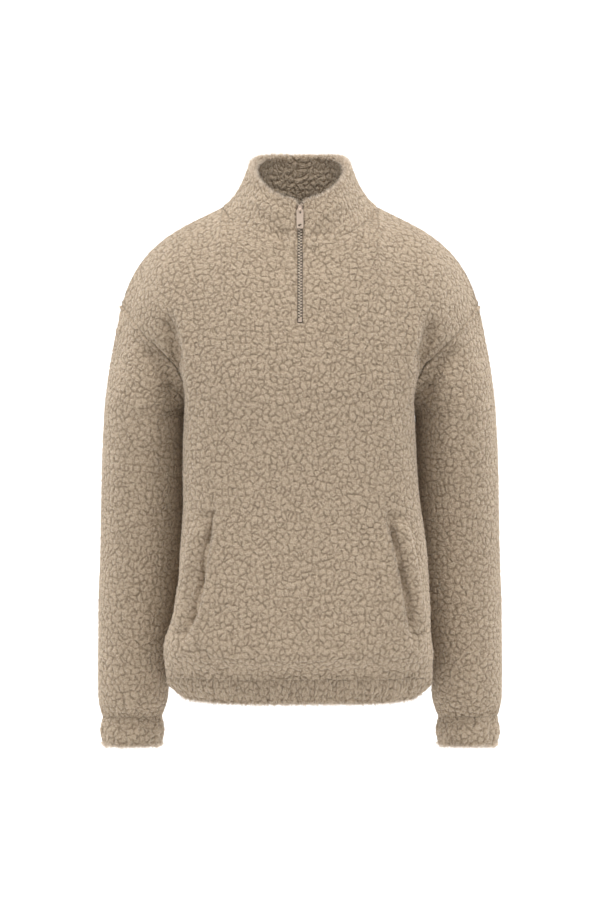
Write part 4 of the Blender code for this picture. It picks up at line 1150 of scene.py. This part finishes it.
def rounded_bar():
    """Points and faces of a bar with round ends, along X, of half size 1."""
    points = []
    for ring in range(1, TOOTH_RINGS + 1):
        polar = math.pi * ring / (TOOTH_RINGS + 1)
        along, girth = math.copysign(abs(math.cos(polar)) ** 0.5, math.cos(polar)), math.sin(polar) ** 0.5
        for step in range(TOOTH_ROUND):
            turn = 2.0 * math.pi * step / TOOTH_ROUND
            points.append((along, girth * math.cos(turn), girth * math.sin(turn)))
    rings = indices(TOOTH_RINGS, TOOTH_ROUND)
    faces = quads(rings[:-1], rings[1:], True).tolist()
    return np.array(points), faces + [rings[0, ::-1].tolist(), rings[-1].tolist()]


def add_teeth(shader):
    """The zip's closed coil, as two rows of slanted teeth that mesh."""
    bar, bar_faces = rounded_bar()
    points, faces = [], []
    height, side = CHAIN_BOTTOM, 1.0
    while height < CHAIN_TOP:
        turn = Matrix.Rotation(math.radians(side * TOOTH_SLANT), 4, "Y")
        place = zip_frame(height) @ Matrix.Translation((side * TOOTH_OFFSET, -TOOTH_DEPTH, 0.0)) @ turn
        faces += [[len(points) + index for index in face] for face in bar_faces]
        points += [(place @ Vector(point * TOOTH_HALF))[:] for point in bar]
        height += TOOTH_PITCH
        side = -side
    made = new_mesh("zip_teeth", points, faces)
    made.data.materials.append(shader)
    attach(made, "garment")
    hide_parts("zip_chain")


def wave(tree, place, direction, scale, distortion):
    """Straight bands across a direction."""
    inputs = {"Vector": place, "Scale": scale, "Distortion": distortion}
    made = node(tree, "ShaderNodeTexWave", inputs, wave_type="BANDS", bands_direction=direction)
    return made.outputs["Fac"]


def tape_material():
    """Woven tape: fine ribs across and threads along, with painted shade, near black, under the teeth."""
    made, tree, shader = new_material("zip_tape_weave", 0.85)
    place = object_place(tree)
    ribs, threads = wave(tree, place, "Z", 330.0, 1.0), wave(tree, place, "X", 420.0, 0.0)
    weave = maths(tree, "MULTIPLY", ribs, threads)
    colour = colour_ramp(tree, weave, (0.0, (0.200, 0.155, 0.118)), (1.0, (0.360, 0.288, 0.222)))
    parts = node(tree, "ShaderNodeSeparateXYZ", {0: place})
    # painted shade: the tape turns near black where the teeth cover it
    under = ranged(tree, maths(tree, "ABSOLUTE", parts.outputs["X"]), 0.0028, 0.0038, 0.94, 0.0)
    fill(tree, shader, {"Base Color": mixed(tree, under, colour, (0.036, 0.028, 0.021, 1.0))})
    bumped(tree, shader, weave, 0.0002)
    return made


def coil_material():
    """Satin coil, with small differences from tooth to tooth."""
    made, tree, shader = new_material("zip_coil", 0.42)
    tone = noise(tree, object_place(tree), 700.0)
    colour = colour_ramp(tree, tone, (0.3, (0.660, 0.540, 0.420)), (0.7, (0.800, 0.680, 0.550)))
    fill(tree, shader, {"Base Color": colour, "Roughness": ranged(tree, tone, 0.2, 0.8, 0.34, 0.52)})
    return made


def metal_material():
    """Satin metal, brushed along the zip."""
    made, tree, shader = new_material("zip_metal_satin", 0.36, 0.45)
    drawn = vector_maths(tree, "MULTIPLY", object_place(tree), (2600.0, 400.0, 60.0))
    brushed = noise(tree, drawn, 1.0)
    colour = colour_ramp(tree, brushed, (0.25, (0.560, 0.440, 0.350)), (0.75, (0.700, 0.570, 0.465)))
    fill(tree, shader, {"Base Color": colour, "Roughness": ranged(tree, brushed, 0.2, 0.8, 0.28, 0.46)})
    bumped(tree, shader, brushed, 0.00006)
    return made


def dress_zip():
    """Materials of the zip's own solids, and the teeth in place of its plain chain."""
    tape, coil, metal = tape_material(), coil_material(), metal_material()
    finish = {"zip_tape_left": tape, "zip_tape_right": tape, "zip_slider": metal, "pull_tab": metal}
    for name in ("zip_bottom_stop", "zip_top_stop_left", "zip_top_stop_right"):
        finish[name] = metal
    for name, shader in finish.items():
        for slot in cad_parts[name].material_slots:
            slot.material = shader
    add_teeth(coil)


# Pocket welts

WELT_ALONG, WELT_ACROSS = 84, 16
WELT_HEIGHT = 0.0066
WELT_SUNK = 0.0004
WELT_CREST = 0.70
WELT_PATTERN = 40.0


def welt_profile(across):
    """The welt's height across it: low in its seam, highest near its outer, open edge."""
    rise = 0.08 + 0.92 * smoothstep((across - 0.12) / (WELT_CREST - 0.12))
    fall = np.sqrt(1.0 - 0.84 * np.clip((across - WELT_CREST) / (1.0 - WELT_CREST), 0.0, 1.0) ** 2)
    return rise * fall


def add_welt(name, side, front):
    """A puffy strip on the front, sewn along its inner edge and both ends."""
    surface = BVHTree.FromObject(front, bpy.context.evaluated_depsgraph_get())
    along, across = np.linspace(0.0, 1.0, WELT_ALONG + 1), np.linspace(0.0, 1.0, WELT_ACROSS + 1)
    found = []
    for height in np.linspace(WELT[0][0], WELT[-1][0], WELT_ALONG + 1):
        inner_x, outer_x = table_at(WELT, height)
        for share in across:
            x = side * (inner_x + (outer_x - inner_x) * share)
            place, normal, _, _ = surface.ray_cast(Vector((x, -1.0, height)), Vector((0.0, 1.0, 0.0)))
            found.append((place[:], normal[:]))
    base, ways = np.moveaxis(np.reshape(found, (WELT_ALONG + 1, WELT_ACROSS + 1, 2, 3)), 2, 0)
    for _ in range(6):
        ways[1:-1, 1:-1] = (ways[:-2, 1:-1] + ways[2:, 1:-1] + ways[1:-1, :-2] + ways[1:-1, 2:]) / 4.0
    ways = unit(ways)
    from_end, from_side = np.minimum(along, 1.0 - along)[:, None], np.minimum(across, 1.0 - across)[None]
    sewn = smoothstep(from_end / 0.12) * 0.85 + 0.15
    outer = base + ways * (WELT_HEIGHT * sewn * welt_profile(across)[None])[..., None]
    normal = grid_normals(outer, False, outer.mean(axis=(0, 1)) + np.array([0.0, 0.2, 0.0]))
    amount = CLUMP_RELIEF * (0.35 + 0.65 * smoothstep(np.minimum(from_end * 20.0, from_side * 6.0)))
    places = cloth_places(outer, False, (1.0, 1.0), WELT_PATTERN + side)
    cells = np.ones((WELT_ALONG, WELT_ACROSS), bool)
    return two_faced(name, outer, base - ways * WELT_SUNK, normal * amount[..., None], places, cells, False)


# Loose fibres

FIBRE_WIDTH, EDGE_FIBRE_BREADTH = 0.00045, 1.5
FIBRE_SUNK = 0.0004
FOLD_REACH = 0.0065


def read_vectors(items, key, kind=np.float32):
    """One vector of each of a mesh's items."""
    values = np.empty(len(items) * 3, kind)
    items.foreach_get(key, values)
    return values.reshape(-1, 3).astype(float if kind is np.float32 else kind)


def add_fibres(name, source, count, length, seed, at_fold=False):
    """Short fibres that stand out of a piece's pile, or only out of a band's folded edge."""
    mesh = source.data
    mesh.calc_loop_triangles()
    corners = read_vectors(mesh.loop_triangles, "vertices", np.int32)
    points = read_vectors(mesh.vertices, "co")
    lift, cloth = (read_vectors(mesh.attributes[key].data, "vector") for key in ("lift", "cloth"))
    raised = np.linalg.norm(lift, axis=1) > 1e-6
    corners = corners[raised[corners].all(axis=1)]
    if at_fold:
        middle = (cloth[:, 1].min() + cloth[:, 1].max()) / 2.0
        corners = corners[np.abs(cloth[corners, 1].mean(axis=1) - middle) < FOLD_REACH]
    sides = points[corners]
    areas = np.linalg.norm(np.cross(sides[:, 1] - sides[:, 0], sides[:, 2] - sides[:, 0]), axis=1)
    chance = np.random.default_rng(seed)
    chosen = corners[chance.choice(len(corners), count, p=areas / areas.sum())]
    share = chance.random((count, 2))
    over = share.sum(axis=1) > 1.0
    share[over] = 1.0 - share[over]
    weights = np.column_stack([1.0 - share.sum(axis=1), share])[..., None]
    root, place, out = (np.sum(values[chosen] * weights, axis=1) for values in (points, cloth, lift))
    out = unit(out)
    lean = chance.normal(size=(count, 3))
    lean = unit(lean - np.sum(lean * out, axis=1, keepdims=True) * out)
    rise = chance.uniform(0.60 if at_fold else 0.30, 0.95, (count, 1))
    aim = unit(out * rise + lean * (1.05 - rise))
    reach = length * chance.uniform(0.55, 1.15, (count, 1))
    breadth = EDGE_FIBRE_BREADTH if at_fold else 1.0
    broad = unit(np.cross(aim, out + 0.3 * lean)) * FIBRE_WIDTH / 2.0 * breadth
    root = root - out * FIBRE_SUNK
    tips = np.stack([root - broad, root + broad, root + aim * reach], axis=1).reshape(-1, 3)
    made = bpy.data.meshes.new(name)
    made.from_pydata(tips.tolist(), [], np.arange(count * 3).reshape(-1, 3).tolist())
    set_vectors(made, "cloth", np.repeat(place, 3, axis=0))
    made.shade_smooth()
    return linked(name, made)


# Camera, light and floor

PIXEL = 0.0014
CAMERA_DISTANCE = 4.0
CAMERA_HEIGHT = -0.3472
SENSOR = 36.0
VIEW_LENGTH = 900 * PIXEL


def add_camera():
    """The photograph's view: level, straight at the front, 4 m away."""
    data = bpy.data.cameras.new("camera")
    data.sensor_width = SENSOR
    data.lens = SENSOR * CAMERA_DISTANCE / VIEW_LENGTH
    made = linked("camera", data)
    made.location = (0.0, -CAMERA_DISTANCE, CAMERA_HEIGHT)
    made.rotation_euler = (math.radians(90.0), 0.0, 0.0)
    bpy.context.scene.camera = made


STAGE_FLOOR, STAGE_TOP = -1.16, 6.5
STAGE_RADIUS = 6.6
STAGE_SWEEP = 1.6
STAGE_SIDES, SWEEP_STEPS = 64, 12


def add_stage():
    """A round pale floor that curves up into a wall all round, outside every view of the garment. The wall
    behind glows as painted light.
    """
    profile = [(0.4, STAGE_FLOOR)]
    for step in range(SWEEP_STEPS + 1):
        turn = math.radians(90.0 * step / SWEEP_STEPS)
        out = STAGE_RADIUS - STAGE_SWEEP * (1.0 - math.sin(turn))
        profile.append((out, STAGE_FLOOR + STAGE_SWEEP * (1.0 - math.cos(turn))))
    profile.append((STAGE_RADIUS, STAGE_TOP))
    turns = [2.0 * math.pi * side / STAGE_SIDES for side in range(STAGE_SIDES)]
    points = [(out * math.cos(turn), out * math.sin(turn), z) for out, z in profile for turn in turns]
    mesh = bpy.data.meshes.new("stage")
    rings = indices(len(profile), STAGE_SIDES)
    mesh.from_pydata(points, [], quads(rings[:-1], rings[1:], True).tolist() + [rings[0, ::-1].tolist()])
    mesh.shade_smooth()
    made = linked("stage", mesh)
    paper, tree, shader = new_material("stage_paper", 0.9)
    place = object_place(tree)
    grain = noise(tree, place, 3.0)
    pale, dim = (
        colour_ramp(tree, grain, (0.0, (low, low, low)), (1.0, (high, high, high)))
        for low, high in ((0.84, 0.87), (0.49, 0.51))
    )
    behind = node(tree, "ShaderNodeSeparateXYZ", {0: place}).outputs["Y"]
    far = ranged(tree, vector_maths(tree, "LENGTH", place, (0.0, 0.0, 0.0)), 2.4, 5.2)
    # The stage glows behind the garment, more strongly further back: painted light that keeps the backdrop
    # white and lights the garment from behind.
    near, beyond = ranged(tree, behind, 0.5, 1.5, 0.0, 0.55), ranged(tree, behind, 1.5, 4.5, 0.0, 0.42)
    fill(tree, shader, {
        "Base Color": mixed(tree, far, pale, dim),
        "Emission Color": (1.0, 1.0, 1.0, 1.0),
        "Emission Strength": maths(tree, "ADD", near, beyond),
    })
    mesh.materials.append(paper)


LIGHTS = (
    ("key", (0.0, -1.1, 3.0), (3.2, 1.6), 134.0),
    ("front", (0.0, -4.6, 0.6), (3.2, 2.2), 4.2),
    ("side_left", (-2.8, -2.0, 0.2), (1.2, 2.4), 20.0),
    ("side_right", (2.8, -2.0, 0.2), (1.2, 2.4), 20.0),
    ("rim_left", (-2.4, 1.2, 0.3), (0.8, 2.6), 42.0),
    ("rim_right", (2.4, 1.2, 0.3), (0.8, 2.6), 42.0),
)
LIGHT_AIM = Vector((0.0, 0.0, -0.35))
LIGHT_COLOUR = (1.0, 0.99, 0.975)
ROOM_LIGHT = 0.12


def add_light():
    """Soft light from above, weaker at the front and the sides, and a dim room."""
    for name, place, size, power in LIGHTS:
        data = bpy.data.lights.new(name, "AREA")
        data.shape = "RECTANGLE"
        data.size, data.size_y = size
        data.energy = power
        data.color = LIGHT_COLOUR
        made = linked(name, data)
        made.location = place
        made.rotation_euler = (LIGHT_AIM - Vector(place)).to_track_quat("-Z", "Y").to_euler()
    world = bpy.data.worlds.new("studio")
    world.use_nodes = True
    tree = world.node_tree
    fill(tree, tree.nodes["Background"], {"Color": (1.0, 1.0, 1.0, 1.0), "Strength": ROOM_LIGHT})
    bpy.context.scene.world = world


# Assembly

BODY_CENTRE = np.array([0.0, 0.0, -0.4])
# how the pile's pattern is stretched across and along each piece, and offsets that set patterns apart
STRETCH, HEM_STRETCH, COLLAR_STRETCH = (1.0, 0.95), (1.1, 0.85), (1.2, 0.9)
FRONT_PATTERN, BACK_PATTERN, SLEEVE_PATTERN, CUFF_PATTERN = 1.0, 3.0, 4.0, 10.0
HEM_PATTERN, COLLAR_PATTERN = 20.0, 30.0
SEAM_RADIUS, SEAM_SIDES = 0.0024, 8
SEAM_DEPTH = 0.0046
SEAM_STEP = 3


def add_seam_allowances(front, back, sleeves, collar, shader):
    """The turned in cloth along each seam, seen in the seams and inside the garment."""
    normal = grid_normals(front, False, BODY_CENTRE)
    body = slice(None, FRONT_STEPS.body + 1)
    shoulder = front.shape[1] // 2 - SLIT_CELLS // 2 - NECK_STEPS * FRONT_STEPS.across
    runs = [(front[body, column], False, normal[body, column]) for column in (0, -1)]
    for part in (slice(None, shoulder), slice(-shoulder, None)):
        runs.append((front[-1, part], False, normal[-1, part]))
    for grid in sleeves:
        facing = grid_normals(grid, True, grid.mean(axis=1, keepdims=True))
        runs += [(grid[row], True, facing[row]) for row in (0, -1)]
    runs.append((collar[0], False, grid_normals(collar, False, collar.mean(axis=1, keepdims=True))[0]))
    hem = np.concatenate([front[0], back[0, 1:-1]])
    runs.append((hem, True, hem - hem.mean(axis=0)))
    points, faces = [], []
    for path, closed, side in runs:
        kept = np.arange(0, len(path), SEAM_STEP)
        if not closed:
            kept = np.unique(np.append(kept, len(path) - 1))
        side = unit(side)
        path, side = (path - side * SEAM_DEPTH)[kept], side[kept]
        count, first = len(path), len(points)
        along = unit(np.roll(path, -1, axis=0) - np.roll(path, 1, axis=0))
        if not closed:
            along[0], along[-1] = unit(path[1] - path[0]), unit(path[-1] - path[-2])
        side = unit(side - np.sum(side * along, axis=1, keepdims=True) * along)
        other = np.cross(along, side)
        for step in range(SEAM_SIDES):
            turn = 2.0 * math.pi * step / SEAM_SIDES
            points.extend(path + SEAM_RADIUS * (side * math.cos(turn) + other * math.sin(turn)))
        found = tube_faces(SEAM_SIDES, count, closed)
        faces += [[first + index for index in face] for face in found]
    made = new_mesh("seam_allowances", points, faces)
    set_vectors(made.data, "cloth", read_vectors(made.data.vertices, "co"))
    made.data.materials.append(shader)
    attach(made, "garment")


def panel_armhole(panel):
    """A function of a panel's points: their distance from the armhole seam and their underarm ease."""

    def found(grid, distances):
        up = (np.arange(len(grid)) - panel.ridge_row) / panel.ridge_rows
        ease = np.clip(1.0 - np.abs(up) / UNDERARM_SHARE, 0.0, 1.0)[:, None] + np.zeros(grid.shape[:2])
        beside = np.minimum(distances["start"], distances["end"])
        return np.where((up > 0.0)[:, None], beside, 1.0), smoothstep(ease)

    return found


def sleeve_armhole(grid, distances):
    """For a sleeve's points, the distance from the armhole seam and the share of underarm ease."""
    inner = (grid[..., 0] - grid[:1, :, 0].mean()) * -np.sign(grid[..., 0].mean())
    return distances["bottom"], smoothstep((inner / inner[0].max() - 0.62) / 0.3)


def joined_sides(back_column, front_column):
    """The back's side edge, moved onto the front's where the hem is drawn in."""
    low = slice(None, BACK_STEPS.body + 1)
    side = front_column[: FRONT_STEPS.body + 1]
    side = side[np.argsort(side[:, 2])]
    moved = np.array(back_column)
    for axis in (0, 1):
        moved[low, axis] = np.interp(back_column[low, 2], side[:, 2], side[:, axis])
    return moved


def armhole_edge(front_column, back_column):
    """The body's edge round an armhole, from the armpit up the front and down the back."""
    return np.concatenate([front_column[FRONT_STEPS.body :], back_column[BACK_STEPS.body :][-2:0:-1]])


def add_cloth(shader):
    """Every cloth piece, by the node that it stands for."""
    front_half, back_half = half_panel(FRONT), half_panel(BACK)
    plain_front = whole_front(front_half)
    front = pulled_in(with_folds(FOLDS, plain_front, False, BODY_CENTRE))
    front = drawn_in(front, False, BODY_CENTRE, HEM_SEWING)
    back = with_folds(BACK_FOLDS, whole_back(back_half), False, BODY_CENTRE, 1.0)
    back = drawn_in(back, False, BODY_CENTRE, HEM_SEWING)
    back[:, 0], back[:, -1] = joined_sides(back[:, 0], front[:, -1]), joined_sides(back[:, -1], front[:, 0])
    sleeve = left_sleeve(front_half, back_half)
    first = (front.shape[1] - 1 - SLIT_CELLS) // 2
    slit = (FRONT_STEPS.body + FRONT_STEPS.yoke, first, first + SLIT_CELLS)
    sleeve_edges = {"bottom": SEAM_ROUNDING, "top": HEM_SEAM_ROUNDING}
    edges = {"start": SEAM_ROUNDING, "end": SEAM_ROUNDING}
    edges |= {"top": NECK_SEAM_ROUNDING, "bottom": HEM_SEAM_ROUNDING}
    made = {}
    panels = (("front", front, FRONT_PATTERN, FRONT, slit), ("back", back, BACK_PATTERN, BACK, None))
    for name, grid, offset, panel, cut in panels:
        made[f"{name}_panel"] = add_panel(
            f"sherpa_{name}", grid, BODY_CENTRE, edges, STRETCH, offset, panel_armhole(panel), cut
        )
    sides = (
        ("left", sleeve, armhole_edge(front[:, -1], back[:, 0])),
        ("right", mirrored(sleeve)[:, ::-1], armhole_edge(front[:, 0], back[:, -1])[::-1]),
    )
    sleeves = []
    for side, grid, edge in sides:
        inside = grid.mean(axis=1, keepdims=True)
        grid = with_folds(BACK_FOLDS, with_folds(FOLDS, grid, True, inside), True, inside, 1.0)
        grid = drawn_in(moved_edge(grid, edge, SEWN_ROWS), True, inside, CUFF_SEWING)
        sleeves.append(grid)
        offset = SLEEVE_PATTERN + len(made)
        made[f"sleeve_{side}"] = add_panel(
            f"sherpa_sleeve_{side}", grid, inside, sleeve_edges, STRETCH, offset, sleeve_armhole, ring=True
        )
        cuff = band_grid(grid[-1], CUFF_BAND, CUFF_ROWS, CUFF_GATHERS)
        made[f"cuff_{side}"] = add_band(f"sherpa_cuff_{side}", cuff, STRETCH, CUFF_PATTERN + len(made))
    hem = split_ring(np.concatenate([front[0], back[0, 1:-1]]), BAND_SPLIT)
    hem = tucked(band_grid(hem, HEM_BAND, HEM_ROWS, HEM_GATHERS))
    made["hem_band"] = add_band("sherpa_hem", hem, HEM_STRETCH, HEM_PATTERN)
    plain = collar_grid()
    collar = with_folds(COLLAR_FOLDS, cornered(plain), False, plain.mean(axis=1, keepdims=True))
    collar = seated(collar, plain[0], plain_front[-1], front[-1])
    share = np.linspace(0.0, 1.0, COLLAR_ROWS + 1)
    thickness = COLLAR_BASE_WALL + (COLLAR_RIM_WALL - COLLAR_BASE_WALL) * share
    made["collar"] = add_band(
        "sherpa_collar", collar, COLLAR_STRETCH, COLLAR_PATTERN,
        thickness, COLLAR_ROWS, False, NECK_SEAM_ROUNDING,
    )
    add_seam_allowances(front, back, sleeves, collar, shader)
    for side, sign in (("left", 1.0), ("right", -1.0)):
        made[f"pocket_welt_{side}"] = add_welt(f"sherpa_welt_{side}", sign, made["front_panel"])
    return made


# For each piece, how many fibres it has and how long they are, on its pile and along its folded
# edge, and the cut of what shows: its width and length, how the cloth is held, and its flat area
Piece = namedtuple("Piece", "fibres edge_fibres flat held area")
PIECES = {
    "front_panel": Piece((52000, 0.0026), None, (0.60, 0.70), "draped", 0.349),
    "back_panel": Piece((44000, 0.0026), None, (0.58, 0.71), "draped", 0.318),
    "sleeve": Piece((30000, 0.0028), None, (0.38, 0.58), "draped", 0.179),
    "collar": Piece((13000, 0.0030), (5500, 0.0062), (0.51, 0.078), "folded", None),
    "hem_band": Piece((11000, 0.0032), (10000, 0.0068), (1.10, 0.046), "gathered", None),
    "cuff": Piece((4500, 0.0032), (2600, 0.0066), (0.24, 0.049), "gathered", None),
    "pocket_welt": Piece((1500, 0.0024), None, (0.034, 0.163), "folded", 0.0048),
}
EDGE_SEEDS = 50


def main():
    bpy.context.scene.view_settings.view_transform = "Standard"
    add_camera()
    add_stage()
    add_light()
    sherpa = sherpa_material("sherpa")
    loose = sherpa_material("sherpa_fibres", fibre=True)
    group = relief_group()
    for seed, (name, made) in enumerate(add_cloth(sherpa).items()):
        raise_pile(made, group)
        made.data.materials.clear()
        made.data.materials.append(sherpa)
        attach(made, "garment")
        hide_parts(name)
        piece = PIECES[name.removesuffix("_left").removesuffix("_right")]
        on_piece = [add_fibres(f"fibres_{name}", made, *piece.fibres, seed)]
        if piece.edge_fibres:
            edge = add_fibres(f"edge_fibres_{name}", made, *piece.edge_fibres, seed + EDGE_SEEDS, True)
            on_piece.append(edge)
        for fibres in on_piece:
            fibres.data.materials.append(loose)
            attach(fibres, "garment")
    dress_zip()


main()
